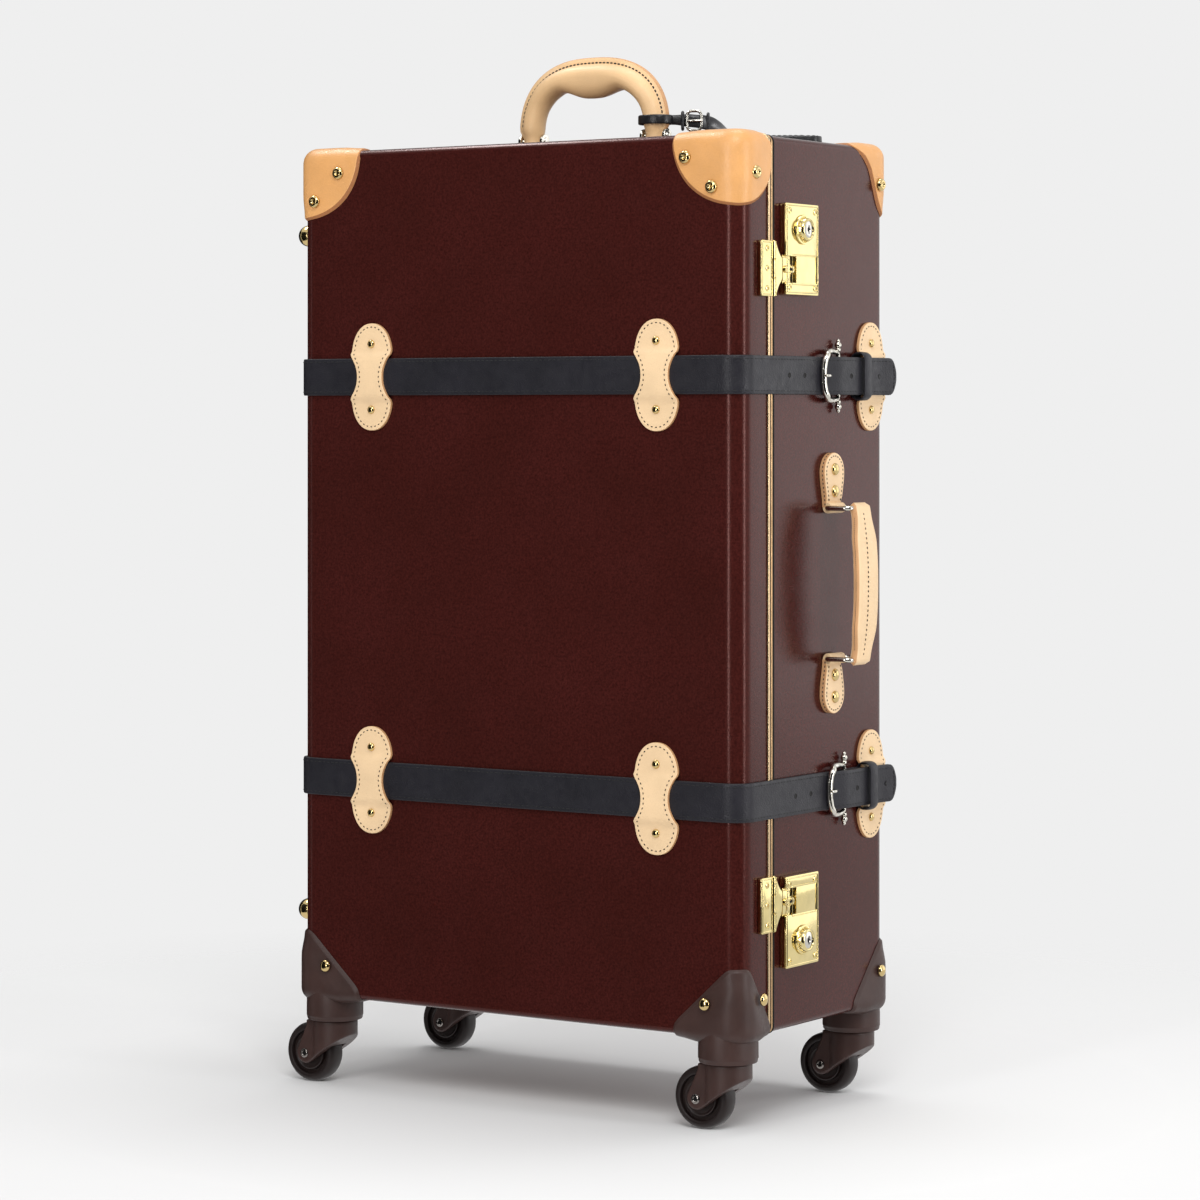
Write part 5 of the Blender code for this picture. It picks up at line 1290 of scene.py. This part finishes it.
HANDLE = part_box("side_handle")
hx, hy, hz = center_of("side_handle")
tall = HANDLE[1][2] - HANDLE[0][2]


def grip_bow(v):
    """The strap grip stands out between its rings."""
    return 0.0066 * (1 - min(abs(v) / (tall / 2), 1) ** 2.2)


def grip_width(near):
    """Half width of the grip, from its middle (0) to its ends (1)."""
    return 0.0118 + 0.0046 * (1 - ease(near, 0.50, 0.86))


form, trim = Form(), Form()
rows = []
count, sides = 48, 28
for i in range(count + 1):
    v = -tall / 2 + tall * i / count
    near = abs(v) / (tall / 2)
    wide = grip_width(near)
    if near > 0.93:
        wide *= math.sqrt(max(1 - ((near - 0.93) / 0.07) ** 2 * 0.35, 0))
    bow = grip_bow(v)
    inside = 0.0046 - 0.0008 * (1 - near ** 4)
    outside = 0.0046 - 0.0006 * (1 - near ** 4)
    if near > 0.96:
        pinch = math.sqrt(max(1 - ((near - 0.96) / 0.04) ** 2, 0.0))
        inside, outside = inside * max(pinch, 0.08), outside * max(pinch, 0.08)
    section = []
    for t in sweep(FULL, sides)[:-1]:
        c, s = math.cos(t), math.sin(t)
        u = wide * math.copysign(abs(c) ** 0.32, c)
        h = (outside if s > 0 else inside) * math.copysign(abs(s) ** 0.42, s)
        section.append((hx + bow + h, hy + u, hz + v))
    rows.append(section)
form.skin(rows, ends=(True, True))
for index in range(len(form.faces) - 2):
    if index % sides in (0, 12, 13, 14, 26, 27):
        form.mats[index] = 1
grip = form.piece("side_handle_hide", [TAN, TAN_EDGE], "side_handle", "tan_leather", "side_handle", 60)


def on_grip(y, z, h):
    return Vector((hx + grip_bow(z - hz) + 0.0041 + h, y, z))


line = [(hy - 0.0030, hz + v) for v in [-tall * 0.43 + tall * 0.86 * i / 30 for i in range(31)]]
sew(trim, line, on_grip, DOT, 0, False, 0.0040, 0.0002)
for spot, _ in even([(0, -tall * 0.40), (0, tall * 0.40)], 0.0016, False):
    wide = grip_width(abs(spot.y) / (tall / 2))
    for side in (-1, 1):
        mark = axes((hx + grip_bow(spot.y), hy + side * (wide - 0.00015), hz + spot.y), Z * side, X)
        trim.copy(stitch(0.0017, 0.0006, 0.00025), mark)
trim.piece("side_handle_seams", THREAD, "side_handle", "tan_leather")


# Top handle

PIN_RISE = 0.011
LEG = 0.064
PIVOT = Vector((MID, 0.005, TOP + PIN_RISE))
form, trim = Form(), Form()


def arch(turn):
    """Point of the handle's spine, a flattened arch between its pins."""
    t = math.radians(turn)
    x = math.copysign(LEG * abs(math.cos(t)) ** (2 / 2.6), math.cos(t))
    return Vector((PIVOT.x + x, PIVOT.y, PIVOT.z + 0.055 * math.sin(t) ** (2 / 2.6)))


STEPS = 64
FEET = (0.0085, 0.006, 0.003)
spine = [arch(2 + 176 * i / STEPS) for i in range(STEPS + 1)]
spine = [spine[0] - Z * d for d in FEET] + spine + [spine[-1] - Z * d for d in FEET[::-1]]
rows, seam_line = [], []
total = len(spine)
for i, spot in enumerate(spine):
    way = (spine[min(i + 1, total - 1)] - spine[max(i - 1, 0)]).normalized()
    out = Vector((way.z, 0, -way.x))
    if out.dot(spot - (PIVOT + Z * 0.01)) < 0:
        out = -out
    share = min(max((i - 3) / (total - 7), 0), 1)
    wave = math.sin(math.pi * share)
    foot = ease(spot.z, PIVOT.z + 0.001, PIVOT.z + 0.010)
    swell = math.cos(math.pi / 2 * min(abs(share - 0.5) / 0.175, 1)) ** 2
    belly = 0.0084 + 0.0012 * foot + 0.0104 * swell
    width = 0.0078 + 0.0026 * foot + 0.0046 * ease(wave, 0.3, 1.0)
    top = 0.0064 + 0.0024 * foot + 0.0008 * wave
    welt = top + 0.0028 + 0.0022 * foot + 0.0012 * wave
    section = [(-belly * math.sin(t) ** 0.9, width * math.cos(t))
               for t in [math.pi * (0.02 + 0.96 * k / 24) for k in range(25)]]
    flare = [(0.0, width), (top * 0.45, width * 0.93), (top * 0.8, width * 0.70), (top, 0.0046),
             (top + 0.0007, 0.0031), (welt - 0.0008, 0.0027), (welt - 0.0002, 0.0021), (welt, 0.0008)]
    section += [(a, -b) for a, b in flare] + flare[::-1]
    rows.append([spot + out * a + Y * b for a, b in section])
    if spot.z > PIVOT.z + 0.010:
        seam_line.append((spot + out * (top + 0.0012), out, way))
form.skin(rows, ends=(True, True))
span = len(rows[0])
for index in range(len(form.faces) - 2):
    if 30 <= index % span <= 34:
        form.mats[index] = 1
grip = form.piece("top_handle_padded", [HANDLE_TAN, TAN_EDGE], "top_handle", "tan_leather", "top_handle", 60)
BOLD_PITCH = 0.0039
bold = stitch(0.0028, 0.0016, 0.0007)
lengths = [0.0]
for (a, *_), (b, *_) in zip(seam_line, seam_line[1:]):
    lengths.append(lengths[-1] + (b - a).length)
for k in range(int(lengths[-1] / BOLD_PITCH) + 1):
    target = k * BOLD_PITCH
    i = max(j for j, length in enumerate(lengths) if length <= target)
    j = min(i + 1, len(lengths) - 1)
    t = (target - lengths[i]) / max(lengths[j] - lengths[i], 1e-9)
    spot, out, way = (seam_line[i][n].lerp(seam_line[j][n], t) for n in range(3))
    for sign in (1, -1):
        face = way.cross(out * sign)
        trim.copy(bold, basis(spot + Y * 0.00295 * (1 if face.y > 0 else -1), way, out * sign, face))
trim.piece("top_handle_seams", THREAD, "top_handle", "tan_leather")

for side in ("left", "right"):
    low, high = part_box(f"handle_bracket_{side}")
    cx, cy, _ = center_of(f"handle_bracket_{side}")
    form = Form()
    plate = axes((cx, cy, TOP), X, Y)
    sole = rounded_rect(high[0] - low[0] - 0.001, high[1] - low[1], 0.0035, 5)
    block(form, sole, plate, GAP, 0.0020, 0.0006)
    ear = arc((0, PIN_RISE), 0.0061, -8, 188, 20)
    ear += [(-0.0088, 0.0030), (-0.0112, 0.0014), (0.0112, 0.0014), (0.0088, 0.0030)]
    for sx in (1, -1):
        block(form, ear, axes((cx + sx * 0.01150, cy, TOP), Y, Z), -0.0013, 0.0013, 0.0005)
        bolt = axes((cx + sx * 0.0128, cy, TOP + PIN_RISE), sx * Y, Z)
        lathe(form, [(TINY, 0.0012), (0.0016, 0.0012), (0.0029, 0.0008), (0.0034, 0.0)], bolt, 24)
    tube(form, [(cx + u, cy, TOP + PIN_RISE) for u in (-0.0125, 0.0125)], 0.0024, 20)
    for v in (-0.0088, 0.0088):
        form.copy(SCREW, at_plane(plate, 0.0, v, 0.0018))
    form.piece(f"handle_bracket_{side}_nickel", NICKEL, "base", "nickel_fittings",
               f"handle_bracket_{side}", 40)


# Luggage tag

TAG_TURN = math.radians(30)
LOOP_RISE = 0.0245
LOOP = [(0.0143, -0.0034), (0.0152, -0.0040), (0.0158, -0.0036), (0.0160, -0.0028), (0.0160, 0.0028),
        (0.0158, 0.0036), (0.0152, 0.0040), (0.0143, 0.0034), (0.0143, -0.0034)]
TAG_LINE = [(0.0140, LOOP_RISE), (0.0220, 0.0243), (0.0320, 0.0236), (0.0430, 0.0220), (0.0530, 0.0184),
            (0.0610, 0.0142), (0.0680, 0.0112), (0.0740, 0.0100), (0.0800, 0.0097)]
TAG_SECTION = ((-1, 0), (-1, 0.0014), (-0.9, 0.0020), (-0.5, 0.0023), (0, 0.0024), (0.5, 0.0023),
               (0.9, 0.0020), (1, 0.0014), (1, 0))
foot = Vector((PIVOT.x + LEG, PIVOT.y, TOP))
ahead = Vector((math.cos(TAG_TURN), math.sin(TAG_TURN), 0))
flat_top = axes(foot, ahead, Vector((-ahead.y, ahead.x, 0)))
form, trim, metal_bits = Form(), Form(), Form()
lathe(form, LOOP, axes(foot + Z * LOOP_RISE, X, Y), 56, stretch=(1.0, 0.80))
card = [(u + 0.0935, v) for u, v in rounded_rect(0.100, 0.056, 0.010, 8)]
window = [(u + 0.1000, v) for u, v in rounded_rect(0.060, 0.034, 0.004, 6)]
for outline, low, thick, soft, rings, crown, margin in ((card, 0.0038, 0.0047, 0.0010, 5, 0.0006, 0.0032),
                                                        (window, 0.0083, 0.0012, 0.0006, 4, 0.0, 0.0024)):
    place = flat(at_plane(flat_top, 0, 0, low))
    patch(form, outline, place, thick, soft, rings, 0, 0, crown)
    sew(trim, inset(outline, margin), place, STRAND, 0, pitch=0.0048, height=thick)
line = smooth_line([(u, 0, h) for u, h in TAG_LINE], 6)
rows = []
for i, spot in enumerate(line):
    way = (line[min(i + 1, len(line) - 1)] - line[max(i - 1, 0)]).normalized()
    up = Vector((-way.z, 0, way.x))
    twist = math.radians(90) * (1 - ease(spot.x, 0.034, 0.066))
    over, thick = Y * math.cos(twist) + up * math.sin(twist), up * math.cos(twist) - Y * math.sin(twist)
    left = (len(line) - 1 - i) / len(line)
    half = 0.0042 + 0.0014 * ease(spot.x, 0.016, 0.030) + 0.0030 * ease(spot.x, 0.034, 0.062)
    half *= math.sqrt(max(1 - (1 - left / 0.08) ** 2, 0.02)) if left < 0.08 else 1
    rows.append([flat_top @ (spot + over * s * half + thick * t) for s, t in TAG_SECTION])
form.skin(rows, ends=(True, True))
for d in (0.0235, 0.0455):
    face = axes(flat_top @ Vector((d, -0.0012, 0.0250 - 0.06 * d)), ahead, Z)
    route = rounded_rect(0.0145, 0.0048, 0.0016, 5)
    tube(form, [face @ Vector((0.0, v, w)) for v, w in route], 0.0014, 10, True)
form.piece("luggage_tag_hide", [BLACK], "luggage_tag", "tag_leather", "luggage_tag", 50)
trim.piece("luggage_tag_seams", STRAP_THREAD, "luggage_tag", "tag_leather")
upright = axes(flat_top @ Vector((0.0335, -0.0012, 0.0235)), ahead, Z)
route = rounded_rect(0.0125, 0.0168, 0.0042, 8)
tube(metal_bits, [upright @ Vector((u, v, 0.0026 - 0.0010 * (u < 0))) for u, v in route], 0.0013, 12, True)
prong = [upright @ Vector(p) for p in ((-0.0056, 0, 0.0020), (0.0, 0, 0.0034), (0.0072, 0, 0.0032))]
tube(metal_bits, smooth_line(prong, 5), 0.0010, 10)
lathe(metal_bits, [(TINY, 0.0014), (0.0016, 0.0012), (0.0026, 0.0006), (0.0028, -0.0004)],
      at_plane(flat_top, 0.0765, 0, 0.0122), 20)
metal_bits.piece("luggage_tag_buckle", NICKEL, "luggage_tag", "nickel_fittings")


# Pull handle

TUBE_X = 0.056
tray_plane = axes(TRAY_C, X, Y)


def stepped(form, outline, steps, ends):
    """Skin through an outline drawn in by d at height h over the top; gives its last row."""
    rows = [[tray_plane @ Vector((u, v, h)) for u, v in inset(outline, d)] for d, h in steps]
    form.skin(rows, ends=ends)
    return rows[-1]


form = Form()
lip = rounded_rect(TRAY[1][0] - TRAY[0][0], TRAY[1][1] - TRAY[0][1], 0.0205, 10)
stepped(form, lip, ((0.0, GAP), (0.0, 0.0011), (0.0004, 0.0016), (0.0012, 0.0019), (0.0060, 0.0019),
                    (0.0070, 0.0016), (0.0076, 0.0008), (0.0077, -0.0170), (0.0090, -0.0178)), (False, True))
for u in (-0.0815, 0.0815):
    form.copy(SCREW, at_plane(tray_plane, u, 0, 0.0017))
form.piece("pull_tray_moulded", PULL, "base", "pull_plastic", "pull_tray", 35)

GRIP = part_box("pull_grip")
form = Form()
shape = rounded_rect(GRIP[1][0] - GRIP[0][0], GRIP[1][1] - GRIP[0][1], 0.0115, 10)
grip_top, tube_end = GRIP[1][2] - TOP, GRIP[0][2] - TOP
steps = ((0.0040, 0.0170), (0.0012, 0.0164), (0.0, 0.0140), (0.0, 0.0036), (0.0007, 0.0016), (0.0022, 0.0003),
         (0.0040, 0.0))
border = stepped(form, shape, [(d, grip_top - h) for d, h in steps], (True, False))
well = rounded_rect(0.0346, 0.0126, 0.0053, 6)
around_well = []
for u, v in inset(shape, 0.0040):
    turn = math.atan2(v * 3, u)
    around_well.append(min(well, key=lambda p: (math.atan2(p[1] * 3, p[0]) - turn) ** 2))
form.skin([border] + [[tray_plane @ Vector((u, v, h)) for u, v in around_well]
                      for h in (grip_top, grip_top - 0.0050)], ends=(False, True))
for x in (TUBE_X, -TUBE_X):
    profile = [(0.0055, grip_top - 0.0165), (0.0055, tube_end + 0.001), (0.0049, tube_end), (TINY, tube_end)]
    lathe(form, profile, at_plane(tray_plane, x, 0, 0), 32, 1)
    for k in range(11):
        rib = [(u + x * 0.62 + (k - 5) * 0.0032, v) for u, v in rounded_rect(0.0016, 0.0150, 0.0007, 3)]
        patch(form, rib, flat(at_plane(tray_plane, 0, 0, grip_top - 0.0002)), 0.0007, 0.0003, 2, 0, 0)
form.piece("pull_grip_moulded", [PULL, TUBE], "pull_grip", "pull_plastic", "pull_grip", 35)

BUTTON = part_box("pull_button")
form = Form()
patch(form, rounded_rect(0.0338, 0.0118, 0.0049, 8), flat(at_plane(tray_plane, 0, 0, BUTTON[0][2] - TOP)),
      BUTTON[1][2] - BUTTON[0][2], 0.0012, 5, 0, 0)
form.piece("pull_button_cap", TUBE, "pull_button", "pull_plastic", "pull_button", 50)

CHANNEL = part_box("pull_channel")
form = Form()
sole = rounded_rect(CHANNEL[1][0] - CHANNEL[0][0], CHANNEL[1][1] - CHANNEL[0][1], 0.0075, 8)
block(form, sole, axes((TRAY_C.x, TRAY_C.y, CHANNEL[0][2]), X, Y), 0.0, 0.006, 0.0008)
top = CHANNEL[1][2] - CHANNEL[0][2]
for x in (TUBE_X, -TUBE_X):
    stem = axes((TRAY_C.x + x, TRAY_C.y, CHANNEL[0][2]), X, Y)
    lathe(form, [(0.0098, 0.0055), (0.0086, 0.0085), (0.0078, 0.0100), (0.0078, top - 0.0004), (0.0074, top),
                 (0.0059, top), (0.0059, 0.008)], stem, 32)
    for u in (0.0115, -0.0115):
        form.copy(SCREW, at_plane(stem, u, 0, 0.0058))
form.piece("pull_channel_tubes", TUBE, "base", "tube_metal", "pull_channel", 40)


# Inside: tie bands with a small buckle plate

TIE_SECTION = ((-0.015, 0), (-0.015, 0.0012), (-0.0142, 0.0016), (0.0142, 0.0016), (0.015, 0.0012),
               (0.015, 0))
for level, z in (("upper", TOP - 0.25), ("lower", BOTTOM + 0.25)):
    form = Form()
    back = BACK - WALL - 0.0012
    for sx, x_end in ((-1, X0 + 0.03), (1, X1 - 0.03)):
        rows = []
        for t in sweep(1, 12):
            x = x_end + (MID + sx * 0.014 - x_end) * t
            sag = 0.006 * math.sin(math.pi * t)
            rows.append([(x, back - 0.0004 - sag - h, z + v) for v, h in TIE_SECTION])
        form.skin(rows, ends=(True, True))
    form.piece(f"tie_band_{level}", LINING, "base", "tag_leather", smooth=50)
    form = Form()
    plane = axes((MID, back - 0.0006, z), X, Z)
    patch(form, rounded_rect(0.042, 0.038, 0.005, 6), flat(plane), 0.0045, 0.0014, 4, 0, 0)
    form.piece(f"tie_buckle_{level}", PULL, "base", "pull_plastic", smooth=50)


# Studio

def studio():
    scene = bpy.context.scene
    scene.view_settings.view_transform = "Standard"
    camera = bpy.data.objects.new("camera", bpy.data.cameras.new("camera"))
    scene.collection.objects.link(camera)
    camera.location = (1.8394, -2.750, 0.5871)
    camera.rotation_euler = (math.radians(90), 0, math.radians(33.71))
    camera.data.sensor_width = 36
    camera.data.lens = 113.8
    camera.data.shift_y = -0.1538
    camera.data.dof.use_dof = False
    scene.camera = camera

    world = bpy.data.worlds.new("studio")
    scene.world = world
    world.use_nodes = True
    tree = world.node_tree
    light = tree.nodes["Background"]
    light.inputs[0].default_value = (1, 1, 1, 1)
    light.inputs[1].default_value = 0.62
    seen = tree.nodes.new("ShaderNodeBackground")
    seen.inputs[0].default_value = (0.863, 0.863, 0.863, 1)
    path = tree.nodes.new("ShaderNodeLightPath")
    known = path.outputs["Is Camera Ray"]
    for ray in ("Is Glossy Ray", "Is Transmission Ray"):
        either = tree.nodes.new("ShaderNodeMath")
        either.operation = "MAXIMUM"
        tree.links.new(known, either.inputs[0])
        tree.links.new(path.outputs[ray], either.inputs[1])
        known = either.outputs[0]
    both = tree.nodes.new("ShaderNodeMixShader")
    tree.links.new(known, both.inputs[0])
    tree.links.new(light.outputs[0], both.inputs[1])
    tree.links.new(seen.outputs[0], both.inputs[2])
    tree.links.new(both.outputs[0], tree.nodes["World Output"].inputs[0])

    def sheet(name, form_of, look):
        shape = bmesh.new()
        form_of(shape)
        data = bpy.data.meshes.new(name)
        shape.to_mesh(data)
        shape.free()
        data.materials.append(look.mat)
        made = bpy.data.objects.new(name, data)
        scene.collection.objects.link(made)
        return made

    def disc(shape):
        bmesh.ops.create_circle(shape, cap_ends=True, segments=96, radius=6.0)

    def square(shape):
        bmesh.ops.create_grid(shape, x_segments=1, y_segments=1, size=0.5)

    look = Look("floor_paper", (0.82, 0.82, 0.82), 0.9, Specular_IOR_Level=0.0)
    look.bump(look.noise(300, 2), 0.0001, 0.2)
    clear = look.node("BsdfTransparent").outputs[0]
    distance = look.node("VectorMath", {0: look.place}, operation="LENGTH").outputs["Value"]
    fade = look.ramp(distance, 0.50, 1.10, 0, 1)
    fade = look.calc("MULTIPLY", fade, look.node("LightPath").outputs["Is Camera Ray"])
    mixed = look.node("MixShader", {0: fade, 1: look.shader.outputs[0], 2: clear})
    look.tree.links.new(mixed.outputs[0], look.tree.nodes["Material Output"].inputs[0])
    floor = sheet("floor", disc, look)
    floor.visible_glossy = False

    look = Look("black_flag", (0.012, 0.012, 0.012), 0.9, Specular_IOR_Level=0.0)
    flags = (((-1.15, -1.78, 0.55), 2.5), ((1.95, -1.95, 0.55), 4.4), ((-2.3, 0.6, 0.55), 3.4))
    for place, wide in flags:
        flag = sheet("flag", square, look)
        flag.location = place
        flag.rotation_euler = Vector((-place[0], -place[1], 0)).to_track_quat("Z", "Y").to_euler()
        flag.scale = (wide, 3.1, 1.0)
        flag.visible_camera = flag.visible_diffuse = flag.visible_shadow = False

    def lamp(name, place, target, size, power, size_y=None):
        light = bpy.data.lights.new(name, "AREA")
        light.energy = power
        light.shape = "RECTANGLE"
        light.size, light.size_y = size, size_y or size
        made = bpy.data.objects.new(name, light)
        made.location = place
        way = Vector(target) - Vector(place)
        made.rotation_euler = way.to_track_quat("-Z", "Y").to_euler()
        scene.collection.objects.link(made)
        return made

    lamp("key", (1.95, -2.50, 3.10), (0, 0, 0.40), 1.8, 74)
    lamp("top", (0.1, 0.45, 3.3), (0, 0, 0.4), 1.2, 24)
    lamp("panel", (2.15, 2.75, 1.15), (0.22, 0.0, 0.55), 2.2, 14, 2.4)
    lamp("left_strip", (-0.06, -3.45, 0.75), (0.2, -0.1, 0.45), 0.30, 27, 1.9)
    lamp("right_strip", (3.35, -0.04, 0.75), (0.2, -0.1, 0.45), 0.30, 27, 1.9)
    edge_light = lamp("edge_light", (-1.45, -0.15, 2.85), (0.0, -0.12, 0.81), 1.3, 26, 0.32)
    edge_light.visible_diffuse = False


studio()
